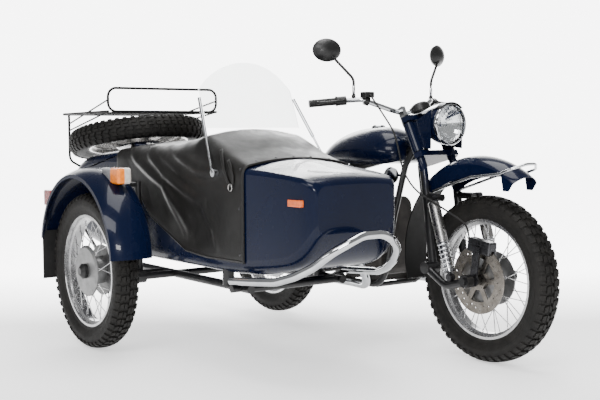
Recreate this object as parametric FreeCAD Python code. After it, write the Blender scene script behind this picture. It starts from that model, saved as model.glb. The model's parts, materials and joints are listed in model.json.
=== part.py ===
import FreeCAD, Part
import math
import os

# A motorcycle with a sidecar on its right. Lengths are in millimetres.
# X points forward, Y to the rider's left and Z up.
# The model is laid out from the ground under the rear axle.
# It is moved to the middle of its base at the end.

# Wheels and their places
wheelbase = 1533.0
track = 1167.0
sidecar_wheel_lead = 275.0
tyre_radius = 344.0
tyre_half_width = 52.0
tyre_shoulder_radius = 330.0
tyre_shoulder_half_width = 44.0
tyre_bulge_radius = 300.0
bead_seat_radius = 241.0
rim_flange_radius = 255.0
rim_flange_thickness = 3.0
rim_half_width = 36.0
rim_well_radius = 228.0
rim_well_half_width = 16.0
rim_sheet = 4.0
fit_gap = 0.3
hub_drum_radius = 103.0
hub_half_width = 44.0
hub_waist_radius = 60.0
hub_flange_radius = 112.0
hub_flange_thickness = 6.0
hub_bore_radius = 12.0
hub_cap_radius = 33.0
hub_cap_depth = 30.0
spoke_count = 40
spoke_radius = 2.0
spoke_sweep_angle = 26.0
spoke_end_bite = 3.0
axle_radius = 11.5
axle_nut_radius = 16.0
axle_nut_thickness = 12.0

# Front brake
disc_radius = 140.0
disc_inner_radius = 92.0
disc_thickness = 5.0
disc_hub_gap = 15.0
disc_carrier_radius = 42.0
disc_arm_width = 22.0
disc_arm_count = 6
disc_hole_radius = 4.0
disc_hole_count = 30
caliper_length = 124.0
caliper_width = 46.0
caliper_depth = 56.0
caliper_slot = 6.0
caliper_angle = 82.0

# Steering and front fork
rake_angle = 27.5
trail = 50.0
head_lower_height = 830.0
head_tube_length = 120.0
head_tube_radius = 30.0
head_bore_radius = 23.0
stem_radius = 17.0
clamp_thickness = 24.0
clamp_gap = 6.0
clamp_margin = 26.0
leg_offset = 66.0
leg_radius = 18.0
leg_half_track = 92.0
leg_straight_drop = 60.0
leg_bend_radius = 120.0
pivot_x = 1303.0
pivot_height = 376.0
pivot_eye_radius = 26.0
link_half_track = 92.0
link_radius = 17.0
link_drop = 34.0
shock_top_x = 1342.0
shock_top_height = 672.0
shock_foot_x = 1449.0
shock_foot_height = 352.0
shock_half_track = 136.0
shock_can_radius = 25.0
shock_can_share = 0.56
shock_eye_radius = 15.0
shock_eye_width = 26.0
shock_rod_radius = 9.0
shock_pin_radius = 7.5
spring_radius = 21.0
spring_wire_radius = 5.0
spring_turns = 6

# Headlight and instrument
lamp_centre_x = 1300.0
lamp_lift = 29.0
lamp_radius = 88.0
lamp_ring_width = 16.0
lamp_ring_lip = 5.0
lamp_shell_length = 112.0
lamp_back_radius = 30.0
lamp_wall = 3.0
lens_bulge = 14.0
lens_thickness = 4.0
gauge_radius = 45.0
gauge_height = 58.0
gauge_forward = 76.0
ear_radius = 25.0
ear_plate_thickness = 4.0
ear_bolt_radius = 8.0
ear_edge_gap = 15.0
nacelle_sheet = 3.0
nacelle_gap = 1.2
nacelle_angle = 44.0
nacelle_rear_x = 1080.0
nacelle_rear_half = 62.0
nacelle_rear_lift = 56.0
nacelle_rear_crown = 24.0

# Handlebar, grips, levers and mirrors
bar_radius = 11.0
bar_centre_x = 1024.0
bar_centre_lift = 76.0
bar_rise_half = 85.0
bar_rise_lift = 94.0
bar_knee_x = 968.0
bar_knee_half = 205.0
bar_knee_lift = 140.0
bar_turn_x = 915.0
bar_turn_half = 262.0
bar_turn_lift = 136.0
bar_end_x = 846.0
bar_end_half = 400.0
bar_end_lift = 122.0
bar_bend_radius = 45.0
grip_length = 122.0
grip_radius = 16.5
grip_flange_radius = 22.0
grip_flange_thickness = 5.0
switch_length = 40.0
switch_radius = 20.0
lever_length = 126.0
lever_reach = 46.0
lever_thickness = 9.0
lever_ball_radius = 8.0
reservoir_length = 52.0
reservoir_width = 40.0
reservoir_height = 26.0
reservoir_x = 978.0
reservoir_half = 183.0
reservoir_lift = 148.0
riser_half_track = 36.0
riser_width = 22.0
riser_depth = 30.0
mirror_stem_radius = 4.5
mirror_half = 232.0
mirror_base_x = 943.0
mirror_stem_length = 90.0
mirror_head_x = 898.0
mirror_head_half = 322.0
mirror_head_lift = 194.0
mirror_width = 132.0
mirror_height = 102.0
mirror_depth = 34.0
mirror_rim = 9.0
mirror_toe = 19.0
mirror_socket_radius = 11.0

# Front fender
fender_centre_x = 1491.0
fender_centre_height = 418.0
fender_radius = 431.0
fender_crown_drop = 34.0
fender_half_width = 71.0
fender_sheet = 3.0
fender_front_angle = 54.5
fender_rear_angle = 130.0
fender_side_inner_radius = 340.0
fender_edge_rear_height = 690.0
fender_edge_front_height = 775.0
fender_edge_front_x = 1660.0
fender_edge_mid_x = 1500.0
fender_edge_mid_height = 757.0
fender_tab_x = 1672.0
fender_tab_height = 712.0
rail_radius = 6.0
rail_corner_x = 1712.0
rail_corner_height = 798.0
rail_front_x = 1752.0
rail_front_height = 820.0
rail_bend_radius = 40.0
flap_thickness = 6.0
flap_half_width = 62.0
flap_front_angle = 122.0
flap_rear_angle = 197.0
fender_stay_radius = 7.0
fender_mount_radius = 9.0
fender_mount_height = 712.0
caliper_bracket_radius = 26.0
caliper_bracket_thickness = 8.0
caliper_bracket_width = 36.0

# Motorcycle frame, engine and running gear
frame_tube_radius = 14.0
frame_stay_radius = 11.0
weld_share = 1.15
backbone_radius = 22.0
cradle_half_width = 118.0
cradle_height = 262.0
cradle_front_x = 965.0
cradle_rear_x = 430.0
cradle_bend_radius = 90.0
seat_rail_height = 742.0
seat_rail_half_width = 92.0
seat_rail_rear_x = -150.0
pivot_tube_height = 400.0
upright_x = 420.0
engine_front_x = 985.0
engine_rear_x = 690.0
engine_half_width = 120.0
engine_bottom = 300.0
engine_top = 575.0
engine_corner = 36.0
front_cover_radius = 52.0
front_cover_top = 607.0
front_cover_bottom = 403.0
front_cover_depth = 24.0
generator_radius = 46.0
generator_length = 88.0
gearbox_rear_x = 460.0
gearbox_half_width = 92.0
gearbox_bottom = 318.0
gearbox_top = 540.0
cylinder_x = 835.0
cylinder_height = 432.0
barrel_radius = 52.0
barrel_fin_radius = 78.0
barrel_length = 118.0
barrel_fin_count = 9
fin_thickness = 4.0
head_size = 150.0
head_length = 72.0
head_fin_count = 6
head_core_size = 118.0
port_stub_length = 8.0
port_stub_radius = 25.0
rocker_cover_size = 116.0
rocker_cover_depth = 38.0
intake_x = 706.0
intake_height = 520.0
carburettor_radius = 30.0
carburettor_height = 96.0
intake_pipe_radius = 17.0
air_box_length = 150.0
air_box_height = 120.0
air_box_half_width = 66.0
exhaust_radius = 19.0
exhaust_half_track = 178.0
exhaust_height = 268.0
muffler_radius = 44.0
muffler_front_x = 330.0
muffler_rear_x = -430.0
muffler_cone_length = 60.0
muffler_outlet_radius = 16.0
muffler_outlet_depth = 60.0
tank_front_x = 1052.0
tank_rear_x = 515.0
tank_depth = 168.0
tank_floor_drop = 30.0
tank_half_width = 142.0
cap_x = 840.0
cap_radius = 32.0
cap_height = 16.0
seat_front_x = 495.0
seat_rear_x = -165.0
seat_top = 838.0
seat_half_width = 132.0
seat_corner = 28.0
fender_pad_radius = 12.0
fender_pad_front_x = 150.0
rear_fender_radius = 398.0
rear_fender_half_width = 74.0
rear_fender_drop = 30.0
rear_fender_depth = 62.0
rear_fender_front_angle = 62.0
rear_fender_rear_angle = 186.0
tail_lamp_radius = 38.0
tail_lamp_depth = 46.0
tail_lamp_height = 590.0
plate_bracket_width = 130.0
plate_bracket_height = 84.0
plate_bracket_thickness = 4.0
plate_bracket_centre_height = 492.0
plate_hole_radius = 3.2
plate_hole_spacing_y = 100.0
plate_hole_spacing_z = 50.0
swingarm_half_width = 82.0
swingarm_radius = 19.0
final_drive_radius = 78.0
final_drive_half_width = 22.0
rear_shock_foot_x = 34.0
rear_shock_foot_height = 404.0
rear_shock_top_x = 92.0
rear_shock_top_height = 700.0
rear_shock_half_track = 132.0
peg_x = 545.0
peg_height = 300.0
peg_half_reach = 262.0
peg_radius = 15.0
pedal_radius = 6.0
pedal_reach = 150.0
side_box_front_x = 378.0
side_box_rear_x = 190.0
side_box_bottom = 470.0
side_box_top = 690.0
side_box_depth = 56.0
side_box_inner = 110.0
horn_x = 1033.0
horn_half = 112.0
horn_height = 756.0
horn_radius = 38.0
horn_depth = 34.0
horn_bracket_radius = 6.0

# Sidecar body
sidecar_middle = 685.0
tub_wall = 5.0
tub_edge = 14.0
nose_x = 1514.0
collar_x = 1150.0
tub_rear_x = -445.0
tub_bottom = 392.0
tub_side_top = 812.0
tub_half_width = 285.0
tub_lower_corner = 60.0
cockpit_front_x = 1000.0
cockpit_rear_x = 190.0
cockpit_inset = 42.0
lid_front_x = 98.0
lid_half_width = 300.0
lid_gap = 6.0
lid_seam_front = 848.0
lid_seam_rear = 735.0
lid_wall = 5.0
hinge_radius = 8.0
hinge_height = 889.0
hinge_leaf_length = 14.0
hinge_leaf_drop = 22.0
hinge_half_track = 150.0
hinge_knuckle_length = 30.0
hinge_knuckle_gap = 1.0
cover_sheet = 4.5
cover_gap = 0.5
cover_rear_x = 118.0
cover_ridge_top = 940.0
cover_crown = 22.0
cover_shoulder = 84.0
cover_hem_height = 442.0
screen_edge_x = 836.0
screen_half_width = 232.0
screen_bulge = 46.0
screen_rake = 22.0
screen_thickness = 4.0
screen_corner_height = 1127.0
screen_top = 1245.0
screen_base_gap = 1.0
strut_radius = 7.0
strut_foot_x = 975.0
strut_foot_height = 790.0
strut_foot_radius = 16.0
strut_top_height = 1092.0
strut_stand = 13.0
strut_rod_radius = 4.5
strut_joint_share = 0.46

# Sidecar frame, suspension, bumper and fender
side_frame_radius = 17.0
side_frame_height = 338.0
side_frame_half_width = 228.0
side_frame_front_x = 1120.0
side_frame_rear_x = -260.0
side_frame_bend = 70.0
arm_pivot_x = 545.0
arm_pivot_half = 1062.0
arm_radius = 19.0
post_x = 452.0
post_half = 1040.0
post_top = 662.0
side_shock_radius = 24.0
brace_radius = 13.0
brace_front_height = 430.0
brace_rear_height = 640.0
bumper_radius = 16.0
bumper_bend = 130.0
bumper_end_x = 1082.0
bumper_end_half = 280.0
bumper_front_x = 1605.0
bumper_low = 370.0
bumper_high = 575.0
brace_start_x = 1062.0
stay_height = 728.0
rear_stay_x = -190.0
rear_stay_end_x = -45.0
rear_stay_end_height = 520.0
side_fender_centre_x = 293.0
side_fender_height = 404.0
side_fender_radius = 397.0
side_fender_half_width = 94.0
side_fender_middle = 1179.0
side_fender_drop = 30.0
side_fender_depth = 46.0
side_fender_front_angle = 4.0
side_fender_rear_angle = 170.0
side_flap_thickness = 5.0
side_flap_bottom = 276.0
side_flap_half_width = 84.0
marker_length = 160.0
marker_width = 66.0
marker_height = 68.0
marker_aside = 21.0
marker_angle = 62.0
side_tail_length = 40.0
side_tail_width = 62.0
side_tail_height = 74.0
reflector_length = 78.0
reflector_height = 26.0
reflector_depth = 9.0
reflector_x = 1432.0
reflector_z = 690.0

# Spare wheel and luggage rack
spare_x = -225.0
spare_height = 922.0
spare_tilt = 11.6
spare_post_radius = 40.0
rack_tube_radius = 6.0
rack_slat_radius = 4.0
rack_half_width = 295.0
rack_front_x = 50.0
rack_rear_x = -493.0
rack_base_rear = 1044.0
rack_base_front = 1050.0
rack_brace_drop = 48.0
rack_side_rail_drop = 82.0
rack_hoop_top = 1160.0
rack_bend = 42.0
rack_slat_count = 5
rack_foot_x = -408.0
rack_foot_height = 768.0

# Brake hose and switch lead: places along each route
hose_radius = 4.0
hose_places = (
    (1496.0, -72.0, 496.0),
    (1490.0, -84.0, 571.0),
    (1432.0, -122.0, 614.0),
    (1400.0, -165.0, 650.0),
    (1284.0, -153.0, 688.0),
    (1225.0, -147.0, 722.0),
    (1188.0, -147.0, 763.0),
    (1165.0, -150.0, 807.0),
    (1148.0, -155.0, 887.0),
    (1130.0, -162.0, 947.0),
    (1107.0, -168.0, 982.0),
    (1060.0, -176.0, 1040.0),
    (998.0, -183.0, 1110.0),
)
lead_radius = 3.0
lead_places = (
    (904.7, 282.5, 1076.0),
    (912.0, 270.0, 1035.0),
    (940.0, 242.0, 1012.0),
    (985.0, 208.0, 1000.0),
    (1040.0, 178.0, 995.0),
    (1098.0, 155.0, 985.0),
    (1152.0, 141.0, 970.0),
    (1204.0, 126.0, 952.0),
    (1232.0, 92.0, 942.0),
    (1240.0, 60.0, 940.0),
)

# Overrun of a cutting shape past what it cuts
overrun = 20.0

# Share of the shorter run that an arc may use at a corner
bend_room_share = 0.45

# Places that follow from the sizes above
cos_rake = math.cos(math.radians(rake_angle))
sin_rake = math.sin(math.radians(rake_angle))
axis_ground_x = wheelbase + trail
body_y = -sidecar_middle
hinge_x = lid_front_x + lid_gap / 2
head_upper_height = head_lower_height + head_tube_length
leg_bend_height = head_lower_height - leg_straight_drop
lamp_height = head_upper_height + lamp_lift
bar_centre_height = head_upper_height + bar_centre_lift
bar_rise_height = head_upper_height + bar_rise_lift
bar_knee_height = head_upper_height + bar_knee_lift
bar_turn_height = head_upper_height + bar_turn_lift
bar_end_height = head_upper_height + bar_end_lift
reservoir_bottom = head_upper_height + reservoir_lift
mirror_kink_height = bar_knee_height + mirror_stem_length
mirror_head_height = bar_knee_height + mirror_head_lift
nacelle_rear_height = head_upper_height + nacelle_rear_lift
tank_bottom = head_lower_height - tank_floor_drop
tank_top = tank_bottom + tank_depth
seat_bottom = seat_rail_height + frame_tube_radius + fit_gap
flap_edge_share = flap_half_width / fender_half_width
flap_radius = fender_radius - fender_sheet - fender_crown_drop * flap_edge_share ** 2 - fit_gap * 2


def vec(x, y, z):
    return FreeCAD.Vector(x, y, z)


Y_AXIS = vec(0, 1, 0)
X_AXIS = vec(1, 0, 0)
Z_AXIS = vec(0, 0, 1)
STEER = vec(-sin_rake, 0, cos_rake)
STEER_FORWARD = vec(cos_rake, 0, sin_rake)


def on_steering(height, forward=0.0, side=0.0):
    """Point beside the steering axis, level with the axis point at the given height."""
    along = height / cos_rake
    base = vec(axis_ground_x, side, 0)
    return base + STEER * along + STEER_FORWARD * forward


# Shape helpers

def joined(shapes):
    whole = shapes[0].fuse(shapes[1:])
    return whole.removeSplitter()


def loose(shapes):
    return Part.makeCompound(shapes)


def flipped(shape):
    """The same shape on the other side of the motorcycle."""
    return shape.mirror(vec(0, 0, 0), Y_AXIS)


def rod(start, end, radius):
    run = end - start
    return Part.makeCylinder(radius, run.Length, start, run)


def block(x0, x1, y0, y1, z0, z1):
    return Part.makeBox(x1 - x0, y1 - y0, z1 - z0, vec(x0, y0, z0))


def soft_block(x0, x1, y0, y1, z0, z1, corner):
    body = block(x0, x1, y0, y1, z0, z1)
    return body.makeFillet(corner, body.Edges)


def arc_radius(before, corner, after, bend):
    """The wished bend, or the largest arc that the two runs have room for."""
    into = corner - before
    out = after - corner
    room = min(into.Length, out.Length) * bend_room_share
    return min(bend, room / math.tan(into.getAngle(out) / 2))


def arc_radii(places, bend):
    """The radius of each arc along a cord, in whole millimetres."""
    points = [vec(*place) for place in places]
    corners = zip(points, points[1:], points[2:])
    return [round(arc_radius(*corner, bend)) for corner in corners]


def bent_path(points, bend):
    """Straight runs joined by tangent arcs, each arc no larger than its two runs allow."""
    edges = []
    start = points[0]
    for before, corner, after in zip(points, points[1:], points[2:]):
        into = (corner - before)
        out = (after - corner)
        turn = into.getAngle(out)
        radius = arc_radius(before, corner, after, bend)
        cut = radius * math.tan(turn / 2)
        into.normalize()
        out.normalize()
        first = corner - into * cut
        last = corner + out * cut
        inward = out - into
        inward.normalize()
        centre = corner + inward * (radius / math.cos(turn / 2))
        middle = centre - inward * radius
        edges.append(Part.LineSegment(start, first).toShape())
        edges.append(Part.Arc(first, middle, last).toShape())
        start = last
    edges.append(Part.LineSegment(start, points[-1]).toShape())
    return Part.Wire(edges)


def tube(points, radius, bend):
    if len(points) == 2:
        return rod(points[0], points[1], radius)
    path = bent_path(points, bend)
    ring = Part.Wire([Part.makeCircle(radius, points[0], points[1] - points[0])])
    return path.makePipeShell([ring], True, True)


def dome(radius, low, rise):
    """Steps of an arc from the rim of a dome to its top on the axis."""
    ball = (radius ** 2 + rise ** 2) / (2 * rise)
    half = radius / 2
    return (half, low + rise - ball + math.sqrt(ball ** 2 - half ** 2), 0, low + rise)


def outline(steps, place):
    """Closed wire: a step is (a, b) for a straight line or (a, b, c, d) for an arc through a, b to c, d."""
    edges = []
    here = place(*steps[0])
    for step in steps[1:]:
        if len(step) == 2:
            there = place(*step)
            edges.append(Part.LineSegment(here, there).toShape())
        else:
            there = place(step[2], step[3])
            edges.append(Part.Arc(here, place(step[0], step[1]), there).toShape())
        here = there
    first = place(*steps[0])
    if (here - first).Length > 0:
        edges.append(Part.LineSegment(here, first).toShape())
    return Part.Wire(edges)


def turned(steps, centre, axis, outward, angle=360.0):
    """Solid of revolution; a profile point is (radius, place along the axis)."""
    wire = outline(steps, lambda radius, along: centre + outward * radius + axis * along)
    return Part.Face(wire).revolve(centre, axis, angle)


def slab(steps, side_low, side_high):
    """Outline in the XZ plane, extruded across from one side to the other."""
    wire = outline(steps, lambda x, z: vec(x, side_low, z))
    return Part.Face(wire).extrude(vec(0, side_high - side_low, 0))


# Wheels

def tyre(centre):
    inner = bead_seat_radius + fit_gap
    bead = rim_half_width - rim_flange_thickness - fit_gap
    lip = rim_flange_radius + fit_gap
    steps = [
        (inner, -bead),
        (lip, -bead),
        (lip, -rim_half_width),
        (tyre_bulge_radius, -tyre_half_width, tyre_shoulder_radius, -tyre_shoulder_half_width),
        (tyre_radius, 0, tyre_shoulder_radius, tyre_shoulder_half_width),
        (tyre_bulge_radius, tyre_half_width, lip, rim_half_width),
        (lip, bead),
        (inner, bead),
    ]
    return turned(steps, centre, Y_AXIS, X_AXIS)


def rim_ring(centre):
    flange_inner = rim_half_width - rim_flange_thickness
    seat_inner = bead_seat_radius - rim_sheet
    well_floor = rim_well_radius - rim_sheet
    well_outer = rim_well_half_width + rim_sheet
    steps = [
        (well_floor, -rim_well_half_width),
        (seat_inner, -well_outer),
        (seat_inner, -rim_half_width),
        (rim_flange_radius, -rim_half_width),
        (rim_flange_radius, -flange_inner),
        (bead_seat_radius, -flange_inner),
        (bead_seat_radius, -well_outer),
        (rim_well_radius, -rim_well_half_width),
        (rim_well_radius, rim_well_half_width),
        (bead_seat_radius, well_outer),
        (bead_seat_radius, flange_inner),
        (rim_flange_radius, flange_inner),
        (rim_flange_radius, rim_half_width),
        (seat_inner, rim_half_width),
        (seat_inner, well_outer),
        (well_floor, rim_well_half_width),
    ]
    return turned(steps, centre, Y_AXIS, X_AXIS)


def hub(centre):
    flange = hub_half_width - hub_flange_thickness
    steps = [
        (hub_bore_radius, -hub_half_width),
        (hub_drum_radius, -hub_half_width),
        (hub_flange_radius, -flange),
        (hub_flange_radius, -flange + hub_flange_thickness),
        (hub_waist_radius, -flange + hub_flange_thickness),
        (hub_waist_radius, flange - hub_flange_thickness),
        (hub_flange_radius, flange - hub_flange_thickness),
        (hub_flange_radius, flange),
        (hub_drum_radius, hub_half_width),
        (hub_bore_radius, hub_half_width),
    ]
    return turned(steps, centre, Y_AXIS, X_AXIS)


def spoke(centre, angle, side, lean):
    """One spoke from a hub flange to the rim well, leaning forward or back from the radius."""
    inner_angle = math.radians(angle)
    outer_angle = math.radians(angle + lean)
    inner = hub_flange_radius - spoke_end_bite
    outer = rim_well_radius - rim_sheet / 2
    flange = hub_half_width - hub_flange_thickness - hub_flange_thickness / 2
    foot = centre + vec(inner * math.cos(inner_angle), side * flange, inner * math.sin(inner_angle))
    head = centre + vec(outer * math.cos(outer_angle), side * rim_sheet, outer * math.sin(outer_angle))
    return rod(foot, head, spoke_radius)


def wire_wheel(centre):
    spokes = []
    step = 360.0 / spoke_count
    for index in range(spoke_count):
        side = 1 if index % 2 else -1
        lean = spoke_sweep_angle if (index // 2) % 2 else -spoke_sweep_angle
        spokes.append(spoke(centre, index * step - lean / 2, side, lean / 2))
    return joined([rim_ring(centre), hub(centre)] + spokes)


def brake_disc(centre):
    outer = -hub_half_width - disc_hub_gap
    ring = turned([
        (disc_inner_radius, outer),
        (disc_radius, outer),
        (disc_radius, outer - disc_thickness),
        (disc_inner_radius, outer - disc_thickness),
    ], centre, Y_AXIS, X_AXIS)
    boss = turned([
        (hub_bore_radius, -hub_half_width),
        (disc_carrier_radius, -hub_half_width),
        (disc_carrier_radius, outer - disc_thickness),
        (hub_bore_radius, outer - disc_thickness),
    ], centre, Y_AXIS, X_AXIS)
    arms = []
    holes = []
    for index in range(disc_arm_count):
        arm = block(
            0,
            disc_inner_radius + disc_thickness,
            -disc_arm_width / 2,
            disc_arm_width / 2,
            0,
            disc_thickness,
        )
        arm = arm.cut(
            Part.makeCylinder(hub_bore_radius + disc_thickness, disc_thickness, vec(0, 0, 0), Z_AXIS)
        )
        arm.rotate(vec(0, 0, 0), Z_AXIS, index * 360.0 / disc_arm_count)
        arm.rotate(vec(0, 0, 0), X_AXIS, 90)
        arm.translate(centre + vec(0, outer, 0))
        arms.append(arm)
    hole_place = (disc_radius + disc_inner_radius) / 2
    for index in range(disc_hole_count):
        angle = math.radians(index * 360.0 / disc_hole_count)
        shift = (index % 3 - 1) * disc_hole_radius * 2
        reach = hole_place + shift
        place = centre + vec(reach * math.cos(angle), outer + overrun, reach * math.sin(angle))
        holes.append(Part.makeCylinder(disc_hole_radius, disc_thickness + 2 * overrun, place, -Y_AXIS))
    return joined([ring, boss] + arms).cut(loose(holes))


def hub_cap(centre, side):
    steps = [
        (0, hub_half_width),
        (hub_cap_radius, hub_half_width),
        (hub_cap_radius, hub_half_width + hub_cap_depth / 2),
        (hub_cap_radius / 2, hub_half_width + hub_cap_depth),
        (0, hub_half_width + hub_cap_depth),
    ]
    return turned(steps, centre, Y_AXIS * side, X_AXIS)


# Front fork and what it carries

def fork_leg(side):
    top = on_steering(
        head_upper_height,
        leg_offset,
        side * leg_half_track,
    ) + STEER * (clamp_gap + clamp_thickness)
    bend = on_steering(leg_bend_height, leg_offset, side * leg_half_track)
    foot = vec(pivot_x, side * leg_half_track, pivot_height)
    leg = tube([top, bend, foot], leg_radius, leg_bend_radius)
    eye_width = leg_radius * 2 + fit_gap
    eye_start = vec(pivot_x, side * leg_half_track - eye_width / 2, pivot_height)
    return joined([leg, Part.makeCylinder(pivot_eye_radius, eye_width, eye_start, Y_AXIS)])


def clamp_plate(height):
    """Yoke that joins the two legs and the stem; the height is that of its lower face on the axis."""
    width = leg_half_track + leg_radius + clamp_margin / 2
    half = leg_radius + clamp_margin / 2
    front = leg_offset + half
    back = stem_radius + clamp_gap
    steps = [
        (-back, -back),
        (front - half, -width),
        (front, -width + half / 2),
        (front, width - half / 2),
        (front - half, width),
        (-back, back),
    ]
    base = on_steering(height)
    wire = outline(steps, lambda forward, side: base + STEER_FORWARD * forward + Y_AXIS * side)
    return Part.Face(wire).extrude(STEER * clamp_thickness)


def upper_yoke():
    plate = clamp_plate(head_upper_height)
    plate.translate(STEER * clamp_gap)
    return plate


def leg_x(height):
    """Place of a fork leg's centre line below its bend."""
    bend = on_steering(leg_bend_height, leg_offset)
    share = (height - pivot_height) / (bend.z - pivot_height)
    return pivot_x + (bend.x - pivot_x) * share


def shock_lug(side):
    """Lug on the fork leg that holds the top eye of the shock absorber."""
    inner = side * leg_half_track
    outer = side * (shock_half_track - shock_eye_width / 2 - fit_gap)
    top = vec(shock_top_x, inner, shock_top_height)
    web = rod(
        vec(leg_x(shock_top_height), inner, shock_top_height),
        top + X_AXIS * shock_eye_radius,
        shock_eye_radius,
    )
    pin = rod(top, vec(shock_top_x, outer, shock_top_height), shock_pin_radius)
    return joined([web, pin])


def fender_mount(side):
    """Round boss between the fork leg and the side of the fender."""
    x = leg_x(fender_mount_height)
    return rod(vec(x, side * fender_half_width, fender_mount_height),
               vec(x, side * leg_half_track, fender_mount_height), fender_mount_radius)


def fork():
    stem_start = on_steering(head_lower_height) - STEER * clamp_gap
    stem_end = on_steering(head_upper_height) + STEER * clamp_gap
    lower = clamp_plate(head_lower_height)
    lower.translate(STEER * -(clamp_gap + clamp_thickness))
    pieces = [rod(stem_start, stem_end, stem_radius), lower, upper_yoke()]
    for side in (1, -1):
        pieces.append(fork_leg(side))
        pieces.append(shock_lug(side))
        pieces.append(fender_mount(side))
    return joined(pieces)


def leading_links():
    links = []
    for side in (1, -1):
        inner = side * (link_half_track + leg_radius + 2 * fit_gap)
        outer = inner + side * (link_radius + fit_gap)
        pivot = vec(pivot_x, outer, pivot_height)
        axle = vec(wheelbase, outer, tyre_radius)
        low = vec((pivot_x + wheelbase) / 2, outer, min(pivot_height, tyre_radius) - link_drop)
        arm = tube([pivot, low, axle], link_radius, link_radius * 4)
        pieces = [arm]
        for centre, eye in ((pivot, pivot_eye_radius), (axle, pivot_eye_radius)):
            pieces.append(
                Part.makeCylinder(
                    eye,
                    (link_radius + fit_gap) * 2,
                    vec(centre.x, inner, centre.z),
                    Y_AXIS * side,
                )
            )
        lug_end = side * (shock_half_track + shock_eye_width / 2 + fit_gap)
        lug = vec(shock_foot_x, lug_end, shock_foot_height)
        pieces.append(rod(vec(shock_foot_x, outer, shock_foot_height - link_drop),
                          vec(shock_foot_x, outer, shock_foot_height), shock_pin_radius))
        link = joined(pieces)
        shock_room = Part.makeCylinder(
            shock_eye_radius + fit_gap,
            shock_eye_width + 2 * fit_gap,
            vec(shock_foot_x, lug.y, shock_foot_height),
            Y_AXIS * -side,
        )
        links.append(link.cut(shock_room))
    return joined(links + [front_axle()])


def front_axle():
    reach = link_half_track + leg_radius + fit_gap + 2 * link_radius
    pieces = [rod(vec(wheelbase, -reach, tyre_radius), vec(wheelbase, reach, tyre_radius), axle_radius)]
    for side in (1, -1):
        start = vec(wheelbase, side * reach, tyre_radius)
        pieces.append(Part.makeCylinder(axle_nut_radius, axle_nut_thickness, start, Y_AXIS * side))
    return joined(pieces)


def coil_steps(start, end, turns):
    """Profile of a coil spring as a row of round wires on its inner sleeve."""
    pitch = (end - start) / turns
    steps = []
    for index in range(turns):
        low = start + pitch * index
        middle = low + pitch / 2
        steps.append((spring_radius, low))
        steps.append((spring_radius, middle - spring_wire_radius))
        steps.append(
            (spring_radius + spring_wire_radius, middle, spring_radius, middle + spring_wire_radius)
        )
    steps.append((spring_radius, end))
    return steps


def shock(top, foot, can_radius):
    """Shock absorber: a smooth can above, a coil spring below and an eye at each end."""
    run = foot - top
    length = run.Length
    can_end = length * shock_can_share
    spring_end = length - shock_eye_radius * 2
    collar = spring_radius + spring_wire_radius
    steps = [
        (0, shock_eye_radius / 2),
        (shock_rod_radius, shock_eye_radius / 2),
        (can_radius, shock_eye_radius * 1.5),
        (can_radius, can_end),
    ]
    steps += coil_steps(can_end, spring_end, spring_turns)
    steps += [
        (collar, spring_end),
        (collar, spring_end + spring_wire_radius * 2),
        (shock_rod_radius, spring_end + spring_wire_radius * 2),
        (shock_rod_radius, length),
        (0, length),
    ]
    run.normalize()
    pieces = [turned(steps, top, run, Y_AXIS)]
    for eye in (top, foot):
        pieces.append(
            Part.makeCylinder(
                shock_eye_radius,
                shock_eye_width,
                eye - Y_AXIS * (shock_eye_width / 2),
                Y_AXIS,
            )
        )
    return joined(pieces)


def front_shocks():
    shocks = []
    for side in (1, -1):
        y = side * shock_half_track
        top = vec(shock_top_x, y, shock_top_height)
        foot = vec(shock_foot_x, y, shock_foot_height)
        shocks.append(shock(top, foot, shock_can_radius))
    return loose(shocks)


def ear_plate_steps(low, high):
    """Side view of the plate between a fork cover and the lamp, which widens toward the lamp."""
    front = lamp_centre_x - ear_edge_gap
    return [
        (low.x + (high.x - low.x) * 0.2, low.z + (high.z - low.z) * 0.2),
        (low.x + ear_radius * 3, low.z + (high.z - low.z) * 0.12),
        (front, lamp_height - lamp_radius * 0.9),
        (front, lamp_height + lamp_radius * 0.7),
        (high.x + ear_radius, high.z),
        (high.x, high.z - ear_radius / 2),
    ]


def headlight_ears():
    """Covers round the upper fork tubes, each with a plate that holds the headlight."""
    ears = []
    lower = head_lower_height + fit_gap
    upper = head_upper_height - fit_gap
    for side in (1, -1):
        y = side * leg_half_track
        start = on_steering(lower, leg_offset, y)
        end = on_steering(upper, leg_offset, y)
        cover = rod(start, end, ear_radius)
        plate_y = side * leg_half_track
        bolt_x = lamp_centre_x - ear_edge_gap - ear_bolt_radius * 2
        plate = slab(
            ear_plate_steps(start, end),
            plate_y - ear_plate_thickness / 2,
            plate_y + ear_plate_thickness / 2,
        )
        bolt = rod(vec(bolt_x, plate_y + side * ear_plate_thickness, lamp_height),
                   vec(bolt_x, side * (lamp_radius * 0.88), lamp_height), ear_bolt_radius)
        bore = rod(start - STEER * overrun, end + STEER * (overrun * 4), leg_radius + fit_gap)
        bolt = rod(vec(lamp_centre_x - lamp_ring_width * 3, plate_y, lamp_height),
                   vec(lamp_centre_x - lamp_ring_width * 3, side * (lamp_radius * 0.88), lamp_height),
                       ear_plate_thickness * 2)
        ears.append(joined([cover, plate, bolt]).cut(bore))
    bowl = turned(lamp_profile(-fit_gap), vec(lamp_centre_x, 0, lamp_height), X_AXIS, Z_AXIS)
    lead_hole = lead_passage()
    return loose([ear.cut(bowl).cut(upper_yoke()).cut(lead_hole) for ear in ears])


def lead_passage():
    """Round hole for the switch lead where it passes through the ear plate."""
    last = [vec(*place) for place in lead_places[-3:]]
    return joined([rod(start, end, lead_radius * 2.4) for start, end in zip(last, last[1:])])


def lamp_profile(inset):
    """Half outline of the lamp bowl: (radius, place behind the ring)."""
    length = lamp_shell_length - inset
    return [
        (0, -length),
        (lamp_back_radius, -length),
        ((lamp_radius - inset) * 0.86, -length * 0.55, lamp_radius - inset, 0),
        (0, 0),
    ]


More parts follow.
